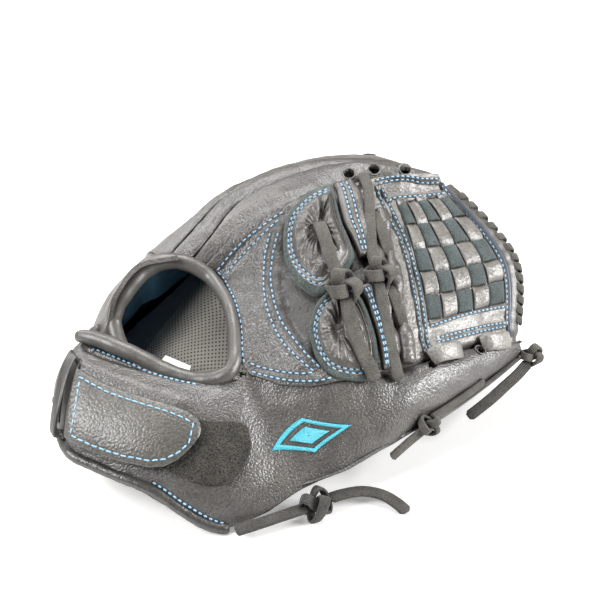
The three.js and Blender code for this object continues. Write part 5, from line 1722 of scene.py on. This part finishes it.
def padPiece(name, surface, columns, rows, bottom, top, node, place):
    # a crowned pad: height (1 - (2a - 1)^4)(1 - (2b - 1)^4) over a surface
    a = np.linspace(0, 1, 16)[None, :]
    b = np.linspace(0, 1, 16)[:, None]
    column = columns[0] + (columns[1] - columns[0]) * a
    row = rows[0] + (rows[1] - rows[0]) * b
    column, row = np.broadcast_arrays(column, row)
    crown = (1 - (2 * a - 1) ** 4) * (1 - (2 * b - 1) ** 4)
    outer = surface.above(column, row, bottom + (top - bottom) * (0.16 + 0.84 * crown))
    inner = surface.above(column, row, bottom)
    pad = shellPiece(name, outer, inner, feltWool)
    dress(pad, "felt", place, node)


padPiece("thumb_heel_padding", palm, (0.9, 2.25), (0.3, 1.5), 4.5, 9.5, "thumb_heel_pad", onThumb)
padPiece("pinky_heel_padding", palm, (6.4, 7.5), (0.35, 1.5), 4.5, 9.5, "pinky_heel_pad", onFingers)
padPiece("thumb_felt_padding", palm, (0.55, 1.5), (3.8, 5.2), 4.2, 14.0, "thumb_felt", onThumb)
padPiece("pinky_felt_padding", palm, (7.2, 7.62), (3.4, 5.0), 4.2, 12.0, "pinky_felt", onFingers)
padPiece("band_padding", band, (0.5, 2.5), (1.2, 4.4), -3.4, -7.4, "band_pad", onThumb)
print("padding made")


# White tape tag behind the lip, between four corners
tagCorners = np.array([[[-83, 25, 63], [-72, 10.6, 60.5]], [[-77.5, 29, 63], [-68, 15.5, 59.5]]])


def addTag():
    a = np.linspace(0, 1, 14)[None, :, None]
    b = np.linspace(0, 1, 8)[:, None, None]
    low = tagCorners[0, 0] * (1 - a) + tagCorners[0, 1] * a
    high = tagCorners[1, 0] * (1 - a) + tagCorners[1, 1] * a
    outer = low * (1 - b) + high * b + np.array([0, 0, 1.0]) * np.sin(math.pi * b) * 0.6
    uv = np.concatenate(np.broadcast_arrays(a * 17, b * 9), -1)
    piece = shellPiece("white_size_tag", outer, outer - np.array([0, 0, 0.6]), tapeCloth, uv)
    dress(piece, "white_tape", onThumb, "size_tag")


addTag()


# Floor, light and background
studio = {
    "floor": 6.0, "floorGlow": 0.3, "ambient": 0.06, "aim": (0, 0, 0.05),
    "lamps": {"key": {"place": (0.25, 0.3, 1.1), "power": 11.0, "size": 0.6},
              "right": {"place": (0.8, -0.8, 0.6), "power": 19.0, "size": 0.5},
              "back": {"place": (-0.1, 1.0, 0.6), "power": 7.0, "size": 0.6},
              "left": {"place": (-0.9, 0.1, 0.8), "power": 13.0, "size": 0.5}},
}


def whenSeen(tree, hidden, seen):
    # one strength for what the camera and clear surfaces see, another for what lights the object
    rays = addNode(tree, "ShaderNodeLightPath").outputs
    sockets = {0: rays["Is Camera Ray"], 1: rays["Is Transmission Ray"]}
    direct = addNode(tree, "ShaderNodeMath", sockets, operation="MAXIMUM")
    sockets = {0: direct.outputs[0], 3: hidden, 4: seen}
    return addNode(tree, "ShaderNodeMapRange", sockets).outputs[0]


def addStudio():
    half = studio["floor"] / 2
    mesh = bpy.data.meshes.new("studio_floor")
    corners = [(-half, -half, 0), (half, -half, 0), (half, half, 0), (-half, half, 0)]
    mesh.from_pydata(corners, [], [(0, 1, 2, 3)])
    floor = bpy.data.objects.new("studio_floor", mesh)
    scene.collection.objects.link(floor)
    material = bpy.data.materials.new("pale_floor")
    material.use_nodes = True
    tree = material.node_tree
    tree.nodes.clear()
    matte = addNode(tree, "ShaderNodeBsdfDiffuse", {"Color": (0.92, 0.915, 0.9, 1)})
    glow = whenSeen(tree, 0.0, studio["floorGlow"])
    light = addNode(tree, "ShaderNodeEmission", {"Color": (1, 1, 1, 1), "Strength": glow})
    both = addNode(tree, "ShaderNodeAddShader", {0: matte.outputs[0], 1: light.outputs[0]})
    addNode(tree, "ShaderNodeOutputMaterial", {"Surface": both.outputs[0]})
    mesh.materials.append(material)
    world = bpy.data.worlds.new("studio_world")
    scene.world = world
    world.use_nodes = True
    tree = world.node_tree
    tree.nodes.clear()
    strength = whenSeen(tree, studio["ambient"], 1.0)
    sky = addNode(tree, "ShaderNodeBackground", {"Color": (1, 1, 1, 1), "Strength": strength})
    addNode(tree, "ShaderNodeOutputWorld", {"Surface": sky.outputs[0]})
    for name, lamp in studio["lamps"].items():
        data = bpy.data.lights.new(f"{name}_light", "AREA")
        data.energy = lamp["power"]
        data.size = lamp["size"]
        placed = bpy.data.objects.new(f"{name}_light", data)
        placed.location = lamp["place"]
        away = Vector(lamp["place"]) - Vector(studio["aim"])
        placed.rotation_euler = away.to_track_quat("Z", "Y").to_euler()
        scene.collection.objects.link(placed)


addStudio()
print("studio set")
